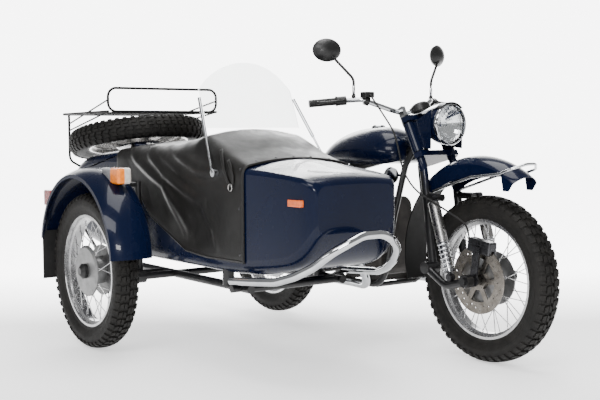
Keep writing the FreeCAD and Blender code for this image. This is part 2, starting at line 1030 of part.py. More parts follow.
def headlight_shell():
    centre = vec(lamp_centre_x, 0, lamp_height)
    bowl = turned(lamp_profile(0), centre, X_AXIS, Z_AXIS)
    hollow = turned(lamp_profile(lamp_wall), centre, X_AXIS, Z_AXIS)
    return bowl.cut(hollow)


def headlight_ring():
    centre = vec(lamp_centre_x, 0, lamp_height)
    inner = lamp_radius - lamp_ring_lip
    outer = lamp_radius + lamp_ring_lip / 2
    steps = [
        (inner, fit_gap),
        (outer, fit_gap),
        (outer, lamp_ring_width / 2, inner + lamp_ring_lip / 2, lamp_ring_width),
        (inner, lamp_ring_width),
    ]
    return turned(steps, centre, X_AXIS, Z_AXIS)


def headlight_lens():
    centre = vec(lamp_centre_x, 0, lamp_height)
    edge = lamp_radius - lamp_ring_lip - fit_gap
    steps = [
        (0, fit_gap),
        (edge, fit_gap),
        (edge, fit_gap + lens_thickness),
        dome(edge, fit_gap + lens_thickness, lens_bulge),
    ]
    return turned(steps, centre, X_AXIS, Z_AXIS)


def ring_outer():
    return lamp_radius + lamp_ring_lip / 2


def nacelle_section(x, half, edge, crown):
    """Closed section: an arch from side to side over a flat line."""
    return outline([(-half, edge), (0, crown, half, edge)], lambda y, z: vec(x, y, z))


def nacelle_solid(inset):
    """Space under the cover that runs back from the lamp ring over the upper yoke."""
    outer = ring_outer() + nacelle_gap + nacelle_sheet - inset
    half = outer * math.sin(math.radians(nacelle_angle))
    edge = lamp_height + outer * math.cos(math.radians(nacelle_angle))
    rear_half = nacelle_rear_half - inset
    rear_edge = nacelle_rear_height
    return Part.makeLoft([
        nacelle_section(nacelle_rear_x, rear_half, rear_edge, rear_edge + nacelle_rear_crown - inset),
        nacelle_section(lamp_centre_x - lamp_ring_width, half, edge, lamp_height + outer),
        nacelle_section(lamp_centre_x + lamp_ring_width, half, edge, lamp_height + outer),
    ], True, True)


def nacelle_cover():
    """Bright arched sheet between the lamp ring and the handlebar clamps."""
    return nacelle_solid(0).cut(nacelle_solid(nacelle_sheet)).cut(upper_yoke())


def speedometer():
    """Round instrument that stands on the nacelle cover and faces the rider."""
    base = on_steering(head_upper_height, gauge_forward) + STEER * (clamp_gap + clamp_thickness + fit_gap)
    steps = [
        (0, 0),
        (gauge_radius * 0.7, 0),
        (gauge_radius, gauge_height * 0.4),
        (gauge_radius, gauge_height * 0.85),
        (gauge_radius * 0.85, gauge_height),
        (0, gauge_height),
    ]
    return turned(steps, base, STEER, Y_AXIS).cut(nacelle_solid(-fit_gap))


def bar_points(side):
    return [
        vec(bar_centre_x, 0, bar_centre_height),
        vec(bar_centre_x, side * bar_rise_half, bar_rise_height),
        vec(bar_knee_x, side * bar_knee_half, bar_knee_height),
        vec(bar_turn_x, side * bar_turn_half, bar_turn_height),
        vec(bar_end_x, side * bar_end_half, bar_end_height),
    ]


def handlebar():
    right = bar_points(-1)
    left = bar_points(1)
    points = list(reversed(right)) + left[1:]
    bar = tube(points, bar_radius, bar_bend_radius)
    risers = []
    top_face = on_steering(head_upper_height) + STEER * (clamp_gap + clamp_thickness)
    for side in (1, -1):
        y = side * riser_half_track
        share = riser_half_track / bar_rise_half
        bar_z = bar_centre_height + (bar_rise_height - bar_centre_height) * share
        foot = vec(top_face.x, y - riser_width / 2, top_face.z)
        post = Part.makeBox(
            riser_depth,
            riser_width,
            (bar_z - top_face.z) + riser_depth,
            foot - X_AXIS * (riser_depth / 2),
        )
        post.rotate(vec(top_face.x, y, top_face.z), Y_AXIS, -rake_angle)
        risers.append(post)
    return joined([bar] + risers)


def along_bar(side, back):
    """Point on the outer run of the handlebar, so far in from its end."""
    end = vec(bar_end_x, side * bar_end_half, bar_end_height)
    inner = vec(bar_turn_x, side * bar_turn_half, bar_turn_height)
    run = inner - end
    run.normalize()
    return end + run * back, run


def grips():
    shapes = []
    for side in (1, -1):
        end, run = along_bar(side, 0)
        body = rod(end - run * fit_gap * 10, end + run * grip_length, grip_radius)
        flange = rod(
            end + run * (grip_length - grip_flange_thickness),
            end + run * grip_length,
            grip_flange_radius,
        )
        bore = rod(end, end + run * (grip_length + overrun), bar_radius + fit_gap)
        shapes.append(joined([body, flange]).cut(bore))
    return loose(shapes)


def lever(side):
    start, run = along_bar(side, grip_length + switch_length * 0.8)
    forward = vec(run.y, -run.x, 0) * side
    forward.normalize()
    if forward.x < 0:
        forward = forward * -1
    pivot = start + forward * (switch_radius + lever_thickness)
    mid = pivot - run * (lever_length / 3) + forward * lever_reach * 0.5
    tip = pivot - run * lever_length + forward * lever_reach * 0.4
    blade = tube([pivot, mid, tip], lever_thickness / 2, lever_length / 3)
    ball = Part.makeSphere(lever_ball_radius, tip)
    bracket = rod(start, pivot, lever_thickness)
    return joined([blade, ball, bracket])


def hand_controls():
    shapes = []
    bar = handlebar()
    for side in (1, -1):
        start, run = along_bar(side, grip_length + fit_gap)
        housing = rod(start, start + run * switch_length, switch_radius)
        shapes.append(joined([housing, lever(side)]).cut(bar))
    shapes.append(brake_reservoir().cut(bar))
    return loose(shapes)


def brake_reservoir():
    """Fluid reservoir of the front brake on the right half of the bar."""
    box = soft_block(
        reservoir_x - reservoir_width / 2, reservoir_x + reservoir_width / 2,
        -reservoir_half - reservoir_length / 2, -reservoir_half + reservoir_length / 2,
        reservoir_bottom, reservoir_bottom + reservoir_height, reservoir_height / 5)
    knee = vec(bar_knee_x, -bar_knee_half, bar_knee_height)
    run = vec(bar_centre_x, -bar_rise_half, bar_rise_height) - knee
    run.normalize()
    clamp = rod(knee + run * bar_radius, knee + run * (bar_radius * 3), bar_radius * 1.7)
    return joined([box, clamp])


def mirror_shell(middle, side):
    """Oval shell with a domed back; its glass side is turned in toward the rider."""
    radius = mirror_height / 2
    rim = mirror_rim - mirror_depth
    steps = [(0, -mirror_depth), (radius * 0.94, -mirror_depth), (radius, rim), dome(radius, rim, -rim)]
    stretch = FreeCAD.Matrix()
    stretch.scale(1, mirror_width / mirror_height, 1)
    shell = turned(steps, vec(0, 0, 0), X_AXIS, Z_AXIS).transformGeometry(stretch)
    shell.rotate(vec(0, 0, 0), Z_AXIS, side * mirror_toe)
    shell.translate(middle)
    return shell


def mirror(side):
    base = vec(mirror_base_x, side * mirror_half, bar_knee_height)
    kink = vec(mirror_base_x, side * mirror_half, mirror_kink_height)
    head = vec(mirror_head_x, side * mirror_head_half, mirror_head_height)
    stem = tube([base, kink, head], mirror_stem_radius, mirror_width / 3)
    nut = Part.makeCylinder(mirror_stem_radius * 2, bar_radius * 2, base, Z_AXIS)
    run = head - kink
    run.normalize()
    throat = head + run * (mirror_height * 0.3)
    socket = Part.makeCone(mirror_stem_radius * 1.5, mirror_socket_radius, mirror_height * 0.45,
                           head - run * (mirror_height * 0.15), run)
    shell = mirror_shell(throat + X_AXIS * (mirror_depth / 2), side)
    return joined([stem, nut, socket, shell])


def mirrors():
    bar = handlebar()
    return loose([mirror(1).cut(bar), mirror(-1).cut(bar)])


def fender_shell(centre, radius, half_width, drop, inner_radius, sheet, start_angle, end_angle):
    """Arched sheet turned about the wheel's axis; angles go up from straight ahead."""
    shoulder = radius - drop
    steps = [
        (inner_radius, -half_width),
        (shoulder, -half_width),
        (radius, 0, shoulder, half_width),
        (inner_radius, half_width),
        (inner_radius, half_width - sheet),
        (shoulder - sheet / 2, half_width - sheet),
        (radius - sheet, 0, shoulder - sheet / 2, -half_width + sheet),
        (inner_radius, -half_width + sheet),
    ]
    shell = turned(steps, centre, Y_AXIS * -1, X_AXIS, end_angle - start_angle)
    shell.rotate(centre, Y_AXIS, -start_angle)
    return shell


def front_fender():
    centre = vec(fender_centre_x, 0, fender_centre_height)
    shell = fender_shell(centre, fender_radius, fender_half_width, fender_crown_drop,
                         fender_side_inner_radius, fender_sheet, fender_front_angle, fender_rear_angle)
    rear_x = fender_centre_x - fender_radius - overrun
    front_x = fender_centre_x + fender_radius + overrun
    low = fender_centre_height
    below = slab([
        (rear_x, low),
        (rear_x, fender_edge_rear_height),
        (pivot_x - leg_radius, fender_edge_rear_height),
        (fender_edge_mid_x, fender_edge_mid_height, fender_edge_front_x, fender_edge_front_height),
        (fender_tab_x, fender_tab_height),
        (front_x, fender_tab_height),
        (front_x, low),
    ], -fender_half_width - overrun, -fender_half_width + fender_sheet * 2)
    return shell.cut(below).cut(flipped(below))


def front_flap():
    centre = vec(fender_centre_x, 0, fender_centre_height)
    steps = [
        (flap_radius, -flap_half_width),
        (flap_radius, flap_half_width),
        (flap_radius - flap_thickness, flap_half_width),
        (flap_radius - flap_thickness, -flap_half_width),
    ]
    sweep = flap_rear_angle - flap_front_angle
    flap = turned(steps, centre, Y_AXIS * -1, X_AXIS, sweep)
    flap.rotate(centre, Y_AXIS, -flap_front_angle)
    return flap


def fender_rail():
    """Bright tube along the fender's lower edge that loops round in front of it."""
    y = fender_half_width + rail_radius + fit_gap
    side = [
        vec(pivot_x - leg_radius, -y, fender_edge_rear_height + rail_radius),
        vec(fender_edge_mid_x, -y, fender_edge_mid_height + rail_radius),
        vec(fender_edge_front_x, -y, fender_edge_front_height + rail_radius),
        vec(rail_corner_x, -y, rail_corner_height),
        vec(rail_front_x, -y / 3, rail_front_height),
    ]
    far = [vec(p.x, -p.y, p.z) for p in reversed(side)]
    return tube(side + far, rail_radius, rail_bend_radius)


def caliper():
    centre = vec(wheelbase, 0, tyre_radius)
    mid_radius = disc_radius
    disc_y = -hub_half_width - disc_hub_gap - disc_thickness / 2
    body = block(-caliper_length / 2, caliper_length / 2, disc_y - caliper_width / 2,
        disc_y + caliper_width / 2,
                 mid_radius - caliper_depth / 2, mid_radius + caliper_depth / 2)
    body = body.makeFillet(caliper_depth / 8, body.Edges)
    slot = Part.makeCylinder(disc_radius + caliper_slot, disc_thickness + 2 * caliper_slot,
                             vec(0, disc_y - disc_thickness / 2 - caliper_slot, 0), Y_AXIS)
    body = body.cut(slot)
    outer_y = disc_y - caliper_width / 2
    arm = block(-caliper_bracket_width / 2, caliper_bracket_width / 2,
                outer_y - caliper_bracket_thickness, outer_y, 0, mid_radius)
    ring = Part.makeCylinder(
        caliper_bracket_radius,
        caliper_bracket_thickness,
        vec(0, outer_y, 0),
        Y_AXIS * -1,
    )
    bore = Part.makeCylinder(axle_radius + fit_gap, track, vec(0, -track / 2, 0), Y_AXIS)
    body = joined([body, arm, ring]).cut(bore)
    body.rotate(vec(0, 0, 0), Y_AXIS, 90 - caliper_angle)
    body.translate(centre)
    return body


def brake_hose():
    hose = tube([vec(*place) for place in hose_places], hose_radius, track)
    return hose.cut(caliper()).cut(brake_reservoir())


def switch_lead():
    """Lead from under the left switch housing to the back of the headlight."""
    lead = tube([vec(*place) for place in lead_places], lead_radius, track)
    start, run = along_bar(1, grip_length)
    housing = rod(start, start + run * switch_length, switch_radius)
    bowl = turned(lamp_profile(0), vec(lamp_centre_x, 0, lamp_height), X_AXIS, Z_AXIS)
    return lead.cut(housing).cut(bowl)


# Motorcycle frame, engine and running gear

def backbone_ends():
    front = on_steering(head_lower_height + head_tube_radius * 1.5)
    rear = vec(upright_x, 0, seat_rail_height - frame_tube_radius)
    return front, rear


def stay_ends(side):
    return (vec(upright_x, side * cradle_half_width, pivot_tube_height),
            vec(rear_shock_top_x, side * seat_rail_half_width, seat_rail_height - frame_tube_radius * 2))


def motorcycle_frame():
    pieces = []
    head_low = on_steering(head_lower_height)
    head_high = on_steering(head_upper_height)
    head = rod(head_low, head_high, head_tube_radius)
    bore = rod(head_low - STEER * overrun, head_high + STEER * overrun, head_bore_radius)
    pieces.append(head)
    pieces.append(rod(*backbone_ends(), backbone_radius))
    for side in (1, -1):
        y = side * cradle_half_width
        start = on_steering(head_lower_height + head_tube_radius * 2, 0, side * head_bore_radius)
        cradle = [
            start,
            vec(tank_front_x + head_bore_radius, side * head_tube_radius * 1.5, tank_bottom),
            vec(cradle_front_x + cradle_bend_radius, y * 0.8, engine_top),
            vec(cradle_front_x + cradle_bend_radius / 2, y, cradle_height),
            vec(cradle_rear_x, y, cradle_height),
            vec(upright_x, y, pivot_tube_height),
            vec(upright_x, side * seat_rail_half_width, seat_rail_height),
        ]
        pieces.append(tube(cradle, frame_tube_radius, cradle_bend_radius))
        rail = [
            vec(tank_rear_x + cradle_bend_radius, side * backbone_radius, seat_rail_height),
            vec(upright_x, side * seat_rail_half_width, seat_rail_height),
            vec(seat_rail_rear_x, side * seat_rail_half_width, seat_rail_height),
        ]
        pieces.append(tube(rail, frame_tube_radius, cradle_bend_radius))
        pieces.append(rod(*stay_ends(side), frame_stay_radius))
        lug_y = side * (rear_shock_half_track + shock_eye_width / 2)
        pieces.append(rod(vec(rear_shock_top_x, side * seat_rail_half_width,
            rear_shock_top_height - frame_stay_radius),
                          vec(rear_shock_top_x, side * seat_rail_half_width, seat_rail_height),
                              frame_tube_radius * weld_share))
        pieces.append(rod(vec(rear_shock_top_x, side * seat_rail_half_width, rear_shock_top_height),
                          vec(rear_shock_top_x, lug_y, rear_shock_top_height), shock_pin_radius))
    pieces += fender_pads() + horn_bracket()
    cross_places = (
        (upright_x, pivot_tube_height),
        (cradle_rear_x, cradle_height),
        (cradle_front_x, cradle_height),
    )
    for x, z in cross_places:
        pieces.append(rod(vec(x, -cradle_half_width, z), vec(x, cradle_half_width, z), frame_stay_radius))
    for x in (seat_rail_rear_x + frame_tube_radius, fender_pad_front_x, upright_x):
        pieces.append(rod(vec(x, -seat_rail_half_width, seat_rail_height),
                          vec(x, seat_rail_half_width, seat_rail_height), frame_stay_radius))
    return joined(pieces).cut(bore)


def fender_pads():
    """Posts from the cross tubes down to the crown of the rear fender."""
    drum = Part.makeCylinder(rear_fender_radius, track, vec(0, -track / 2, tyre_radius), Y_AXIS)
    pads = []
    for x in (seat_rail_rear_x + frame_tube_radius, fender_pad_front_x):
        pads.append(rod(vec(x, 0, tyre_radius), vec(x, 0, seat_rail_height), fender_pad_radius).cut(drum))
    return pads


def horn_bracket():
    high = tank_bottom
    low = engine_top
    share = (horn_height - low) / (high - low)
    tube_y = cradle_half_width * 0.8
    near_y = tube_y + (head_tube_radius * 1.5 - tube_y) * share
    front = cradle_front_x + cradle_bend_radius
    tube_x = front + (tank_front_x + head_bore_radius - front) * share
    back_x = horn_x - horn_bracket_radius * 2
    behind = vec(back_x, -near_y, horn_height)
    back = vec(back_x, -horn_half, horn_height)
    return [
        rod(
            vec(tube_x, -near_y, horn_height),
            behind - X_AXIS * (horn_bracket_radius * 1.4),
            horn_bracket_radius,
        ),
        rod(behind + Y_AXIS * (horn_bracket_radius * 1.5), back, horn_bracket_radius * 0.8),
        rod(
            back - X_AXIS * (horn_bracket_radius * 1.4),
            vec(horn_x, -horn_half, horn_height),
            horn_bracket_radius * 2,
        ),
    ]


def engine_block():
    case = soft_block(engine_rear_x, engine_front_x, -engine_half_width, engine_half_width,
                      engine_bottom, engine_top, engine_corner)
    box = soft_block(gearbox_rear_x, engine_rear_x + engine_corner * 2, -gearbox_half_width,
        gearbox_half_width,
                     gearbox_bottom, gearbox_top, engine_corner * 0.8)
    feet = []
    rail_top = cradle_height + frame_tube_radius * 0.6
    for x in (engine_rear_x + engine_corner * 2, engine_front_x - engine_corner * 2):
        foot = block(x - engine_corner / 2, x + engine_corner / 2, -cradle_half_width, cradle_half_width,
                     rail_top, engine_bottom + engine_corner)
        feet.append(foot)
    rails = []
    for side in (1, -1):
        rails.append(rod(vec(cradle_rear_x, side * cradle_half_width, cradle_height),
                         vec(cradle_front_x, side * cradle_half_width, cradle_height), frame_tube_radius))
    return joined([case, box, front_cover(), generator()] + feet).cut(loose(rails))


def front_cover():
    """Upright cover with round ends on the front of the engine."""
    start = engine_front_x - engine_corner / 4
    end = engine_front_x + front_cover_depth
    ends = []
    for height in (front_cover_bottom, front_cover_top):
        ends.append(Part.makeCylinder(front_cover_radius, end - start, vec(start, 0, height), X_AXIS))
    middle = block(start, end, -front_cover_radius, front_cover_radius, front_cover_bottom, front_cover_top)
    return joined(ends + [middle])


def generator():
    """Generator that lies on top of the engine behind the front cover."""
    start = engine_front_x - generator_length
    return Part.makeCylinder(generator_radius, generator_length, vec(start, 0, front_cover_top), X_AXIS)


def cylinder():
    """Finned barrel, head and rocker cover of the left cylinder, along +Y."""
    base = vec(cylinder_x, engine_half_width, cylinder_height)
    profile = [(0, 0), (barrel_radius, 0)]
    pitch = barrel_length / barrel_fin_count
    for index in range(barrel_fin_count):
        start = pitch * (index + 0.5)
        profile += [
            (barrel_radius, start),
            (barrel_fin_radius, start),
            (barrel_fin_radius, start + fin_thickness),
            (barrel_radius, start + fin_thickness),
        ]
    profile += [(barrel_radius, barrel_length), (0, barrel_length)]
    barrel = turned(profile, base, Y_AXIS, X_AXIS)
    head_start = engine_half_width + barrel_length
    half = head_size / 2
    core = head_core_size / 2
    pieces = [barrel]
    pieces.append(block(cylinder_x - core, cylinder_x + core, head_start, head_start + head_length,
                        cylinder_height - core, cylinder_height + core))
    fin_pitch = head_length / head_fin_count
    for index in range(head_fin_count):
        y = head_start + fin_pitch * index
        fin = block(
            cylinder_x - half,
            cylinder_x + half,
            y,
            y + fin_thickness,
            cylinder_height - half,
            cylinder_height + half,
        )
        pieces.append(
            fin.makeFillet(fin_thickness * 4, [e
            for e in fin.Edges if abs(e.tangentAt(0).y) > 0.9])
        )
    cover_start = head_start + head_length
    cover_half = rocker_cover_size / 2
    cover = block(cylinder_x - cover_half, cylinder_x + cover_half, cover_start,
        cover_start + rocker_cover_depth,
                  cylinder_height - cover_half * 0.7, cylinder_height + cover_half * 0.7)
    outer_edges = [e for e in cover.Edges if e.CenterOfMass.y > cover_start + fit_gap]
    pieces.append(cover.makeFillet(rocker_cover_depth * 0.4, outer_edges))
    port = vec(cylinder_x - half - port_stub_length, head_start + head_length / 2, cylinder_height)
    pieces.append(rod(port, port + X_AXIS * (head_size + port_stub_length * 2), port_stub_radius))
    return joined(pieces)


def cylinders():
    left = cylinder()
    return loose([left, flipped(left)])


def intake():
    """Two carburettors on pipes behind the heads, joined to the air box over the gearbox."""
    box = soft_block(gearbox_rear_x, gearbox_rear_x + air_box_length, -air_box_half_width,
        air_box_half_width,
                     gearbox_top + fit_gap, gearbox_top + air_box_height, frame_tube_radius)
    pieces = [box]
    head_back = cylinder_x - head_size / 2 - port_stub_length
    for side in (1, -1):
        y = side * (engine_half_width + barrel_length + head_length / 2)
        carb_x = intake_x - carburettor_radius
        pieces.append(Part.makeCylinder(carburettor_radius, carburettor_height,
                                        vec(carb_x, y, intake_height - carburettor_height * 0.7), Z_AXIS))
        port = vec(head_back - fit_gap, y, cylinder_height)
        pieces.append(rod(port, vec(carb_x, y, intake_height - carburettor_height / 4), intake_pipe_radius))
        pieces.append(tube([
            vec(carb_x, y, intake_height - carburettor_height / 4),
            vec(gearbox_rear_x + air_box_length, y, intake_height + carburettor_height / 4),
            vec(gearbox_rear_x + air_box_length * 0.6, y * 0.5, gearbox_top + air_box_height * 0.5),
            vec(gearbox_rear_x + air_box_length * 0.6, 0, gearbox_top + air_box_height * 0.5),
        ], intake_pipe_radius, air_box_half_width))
    return joined(pieces).cut(cylinders())


def exhaust(side):
    head_y = side * (engine_half_width + barrel_length + head_length / 2)
    y = side * exhaust_half_track
    port = vec(cylinder_x + head_size / 2 + port_stub_length + fit_gap, head_y, cylinder_height)
    pipe = tube([
        port,
        vec(port.x + muffler_radius * 2, head_y, cylinder_height),
        vec(port.x + muffler_radius * 2, y * 1.1, exhaust_height),
        vec(port.x - muffler_radius, y, exhaust_height),
        vec(muffler_front_x, y, exhaust_height),
    ], exhaust_radius, muffler_radius * 1.6)
    centre = vec(muffler_rear_x, y, exhaust_height)
    length = muffler_front_x - muffler_rear_x
    steps = [
        (0, 0),
        (muffler_radius * 0.8, 0),
        (muffler_radius, muffler_cone_length),
        (muffler_radius, length - muffler_cone_length),
        (exhaust_radius, length),
        (0, length),
    ]
    muffler = turned(steps, centre, X_AXIS, Z_AXIS)
    outlet = Part.makeCylinder(
        muffler_outlet_radius,
        muffler_outlet_depth + overrun,
        centre - X_AXIS * overrun,
        X_AXIS,
    )
    return joined([pipe, muffler]).cut(outlet)


def exhausts():
    return loose([exhaust(1), exhaust(-1)])


def tank_section(x, half_width_share, top_share, bottom_share):
    """Rounded tank section; shares are of the tank's half width and of its height."""
    height = tank_top - tank_bottom
    half = tank_half_width * half_width_share
    top = tank_bottom + height * top_share
    bottom = tank_bottom + height * bottom_share
    waist = bottom + (top - bottom) * 0.3
    points = [
        vec(x, half * 0.75, bottom),
        vec(x, half, waist),
        vec(x, half * 0.82, bottom + (top - bottom) * 0.72),
        vec(x, half * 0.42, bottom + (top - bottom) * 0.95),
        vec(x, 0, top),
    ]
    curve = Part.BSplineCurve()
    curve.interpolate(points + [vec(p.x, -p.y, p.z) for p in reversed(points[:-1])])
    base = Part.LineSegment(vec(x, -half * 0.75, bottom), vec(x, half * 0.75, bottom))
    return Part.Wire([curve.toShape(), base.toShape()])


tank_shares = (
    (0.0, 0.52, 0.30, 0.02),
    (0.10, 0.72, 0.55, 0.0),
    (0.32, 0.90, 0.86, 0.0),
    (0.60, 1.0, 1.0, 0.0),
    (0.82, 0.96, 0.96, 0.02),
    (0.94, 0.80, 0.80, 0.06),
    (1.0, 0.55, 0.62, 0.14),
)


def tank_body():
    length = tank_front_x - tank_rear_x
    sections = [tank_section(tank_rear_x + length * place, *rest) for place, *rest in tank_shares]
    return Part.makeLoft(sections, True, False)


def fuel_tank():
    solid = tank_body()
    tunnel = rod(*backbone_ends(), backbone_radius + fit_gap)
    head_room = rod(on_steering(head_lower_height) - STEER * overrun, on_steering(tank_top + overrun),
                    head_tube_radius + fit_gap)
    tunnel_half = backbone_radius + fit_gap
    front, rear = backbone_ends()
    lower = slab([
        (rear.x, rear.z),
        (front.x, front.z),
        (front.x, tank_bottom - tank_top),
        (rear.x, tank_bottom - tank_top),
    ], -tunnel_half, tunnel_half)
    return solid.cut(tunnel).cut(head_room).cut(lower)


def fuel_cap():
    steps = [
        (0, 0),
        (cap_radius, 0),
        (cap_radius, cap_height * 0.7),
        (cap_radius * 0.8, cap_height),
        (0, cap_height),
    ]
    cap = turned(steps, vec(cap_x, 0, tank_top - cap_height * 0.3), Z_AXIS, X_AXIS)
    return cap.cut(tank_body())


def seat():
    cushion = soft_block(
        seat_rear_x,
        seat_front_x,
        -seat_half_width,
        seat_half_width,
        seat_bottom,
        seat_top,
        seat_corner,
    )
    return cushion.cut(rod(*backbone_ends(), backbone_radius + fit_gap)).cut(tank_body())


def rear_fender():
    centre = vec(0, 0, tyre_radius)
    return fender_shell(centre, rear_fender_radius, rear_fender_half_width, rear_fender_drop,
                        rear_fender_radius - rear_fender_depth, fender_sheet,
                        rear_fender_front_angle, rear_fender_rear_angle)


def rear_reach(height):
    """How far back the rear fender's crown lies at a height."""
    rise = height - tyre_radius
    return -math.sqrt(rear_fender_radius ** 2 - rise ** 2)


def tail_lamp():
    x = rear_reach(tail_lamp_height)
    steps = [
        (0, 0),
        (tail_lamp_radius * 0.7, 0),
        (tail_lamp_radius, tail_lamp_depth * 0.5),
        (tail_lamp_radius, tail_lamp_depth),
        (tail_lamp_radius * 0.7, tail_lamp_depth * 1.2),
        (0, tail_lamp_depth * 1.2),
    ]
    lamp = turned(steps, vec(x + tail_lamp_depth * 0.4, 0, tail_lamp_height), -X_AXIS, Z_AXIS)
    fender = Part.makeCylinder(rear_fender_radius + fit_gap, track, vec(0, -track / 2, tyre_radius), Y_AXIS)
    return lamp.cut(fender)


def plate_bracket():
    x = rear_reach(plate_bracket_centre_height) - tail_lamp_depth
    half = plate_bracket_width / 2
    low = plate_bracket_centre_height - plate_bracket_height / 2
    high = plate_bracket_centre_height + plate_bracket_height / 2
    plate = block(x - plate_bracket_thickness, x, -half, half, low, high)
    arm = block(x - plate_bracket_thickness / 2, x + tail_lamp_depth * 2, -half / 4, half / 4,
                high - plate_bracket_thickness * 3, high - plate_bracket_thickness)
    fender = Part.makeCylinder(rear_fender_radius + fit_gap, track, vec(0, -track / 2, tyre_radius), Y_AXIS)
    holes = []
    for side in (1, -1):
        for level in (1, -1):
            place = vec(x - overrun, side * plate_hole_spacing_y / 2,
                        plate_bracket_centre_height + level * plate_hole_spacing_z / 2)
            holes.append(Part.makeCylinder(plate_hole_radius, overrun * 2, place, X_AXIS))
    return joined([plate, arm]).cut(fender).cut(loose(holes))


def swingarm():
    """Rear fork with the drive shaft in its left arm and the final drive beside the hub."""
    pieces = []
    y = swingarm_half_width
    pivot_clear = frame_tube_radius + fit_gap * 10
    for side in (1, -1):
        pieces.append(rod(vec(upright_x - pivot_clear - swingarm_radius, side * y, pivot_tube_height),
                          vec(0, side * y, tyre_radius), swingarm_radius))
        pieces.append(Part.makeCylinder(swingarm_radius * 1.3, swingarm_radius * 1.6,
                                        vec(0, side * (y + swingarm_radius * 0.8), tyre_radius),
                                            Y_AXIS * -side))
        lug = vec(
            rear_shock_foot_x,
            side * (rear_shock_half_track + shock_eye_width / 2),
            rear_shock_foot_height,
        )
        inner = vec(rear_shock_foot_x, side * y, rear_shock_foot_height)
        pieces.append(rod(vec(rear_shock_foot_x, side * y, tyre_radius), inner, swingarm_radius * 0.7))
        pieces.append(rod(inner, lug, shock_pin_radius))
    cross = vec(upright_x - pivot_clear - swingarm_radius, 0, pivot_tube_height)
    pieces.append(
        rod(cross - Y_AXIS * (y + swingarm_radius), cross + Y_AXIS * (y + swingarm_radius), swingarm_radius)
    )
    drive = Part.makeCylinder(final_drive_radius, final_drive_half_width * 2,
                              vec(0, y - final_drive_half_width, tyre_radius), Y_AXIS)
    drive = drive.makeFillet(final_drive_half_width * 0.5, drive.Edges)
    pieces.append(drive)
    reach = y + swingarm_radius
    pieces.append(
        rod(
            vec(0, -reach - axle_nut_thickness, tyre_radius),
            vec(0, reach + axle_nut_thickness, tyre_radius),
            axle_radius,
        )
    )
    room = Part.makeCylinder(hub_flange_radius + clamp_gap, (hub_half_width + clamp_gap) * 2,
                             vec(0, -hub_half_width - clamp_gap, tyre_radius), Y_AXIS)
    axle = rod(vec(0, -reach, tyre_radius), vec(0, reach, tyre_radius), axle_radius)
    return joined([joined(pieces).cut(room), axle])


def rear_shocks():
    shocks = []
    for side in (1, -1):
        y = side * rear_shock_half_track
        top = vec(rear_shock_top_x, y, rear_shock_top_height)
        foot = vec(rear_shock_foot_x, y, rear_shock_foot_height)
        whole = shock(top, foot, shock_can_radius)
        width = shock_eye_width + overrun
        for eye in (top, foot):
            whole = whole.cut(
                Part.makeCylinder(shock_pin_radius + fit_gap, width, eye - Y_AXIS * (width / 2), Y_AXIS)
            )
        shocks.append(whole)
    return loose(shocks)


def foot_controls():
    """Footrests on a cross bar under the cradle, with the brake pedal and the gear lever."""
    bar_radius_low = peg_radius * 0.5
    bar_z = cradle_height - frame_tube_radius - bar_radius_low - fit_gap
    half = exhaust_half_track + muffler_radius * 1.4
    pieces = [rod(vec(peg_x, -half, bar_z), vec(peg_x, half, bar_z), bar_radius_low)]
    for side in (1, -1):
        y = side * half
        pieces.append(
            rod(
                vec(peg_x, y, bar_z - bar_radius_low),
                vec(peg_x, y, peg_height),
                bar_radius_low * weld_share,
            )
        )
        pieces.append(
            rod(
                vec(peg_x, y - side * bar_radius_low, peg_height),
                vec(peg_x, side * peg_half_reach * 1.3, peg_height),
                peg_radius,
            )
        )
        pedal_y = y - side * peg_radius
        pieces.append(tube([
            vec(peg_x, pedal_y, bar_z),
            vec(peg_x + pedal_reach * 0.5, pedal_y, bar_z),
            vec(peg_x + pedal_reach, pedal_y, peg_height),
        ], pedal_radius, peg_radius * 2))
        pad = vec(peg_x + pedal_reach, pedal_y, peg_height)
        pieces.append(
            rod(pad - Y_AXIS * side * peg_radius, pad + Y_AXIS * side * peg_radius * 2, peg_radius * 0.7)
        )
    return joined(pieces)


def side_boxes():
    boxes = []
    for side in (1, -1):
        low = min(side * side_box_inner, side * (side_box_inner + side_box_depth))
        box = soft_block(side_box_rear_x, side_box_front_x, low, low + side_box_depth,
                         side_box_bottom, side_box_top, frame_tube_radius)
        boxes.append(box.cut(rod(*stay_ends(side), frame_stay_radius)))
    return loose(boxes)


def horn():
    centre = vec(horn_x, -horn_half, horn_height)
    steps = [
        (0, 0),
        (horn_radius * 0.6, 0),
        (horn_radius, horn_depth * 0.5),
        (horn_radius * 0.9, horn_depth),
        (0, horn_depth),
    ]
    return turned(steps, centre, X_AXIS, Z_AXIS)


# Sidecar body: places are shares of the run from the rear to the nose

def tub_section(x, half, bottom, side_top, crown, low_corner, high_corner):
    """Closed section of the body: flat floor, upright sides, rounded corners and a crowned top."""
    bend_low = low_corner * (1 - math.cos(math.radians(45)))
    bend_high = high_corner * (1 - math.cos(math.radians(45)))
    steps = [
        (-half + low_corner, bottom),
        (half - low_corner, bottom),
        (half - bend_low, bottom + bend_low, half, bottom + low_corner),
        (half, side_top - high_corner),
        (half - bend_high, side_top - bend_high, half - high_corner, side_top),
        (0, side_top + crown, -half + high_corner, side_top),
        (-half + bend_high, side_top - bend_high, -half, side_top - high_corner),
        (-half, bottom + low_corner),
        (-half + bend_low, bottom + bend_low, -half + low_corner, bottom),
    ]
    return outline(steps, lambda y, z: vec(x, body_y + y, z))


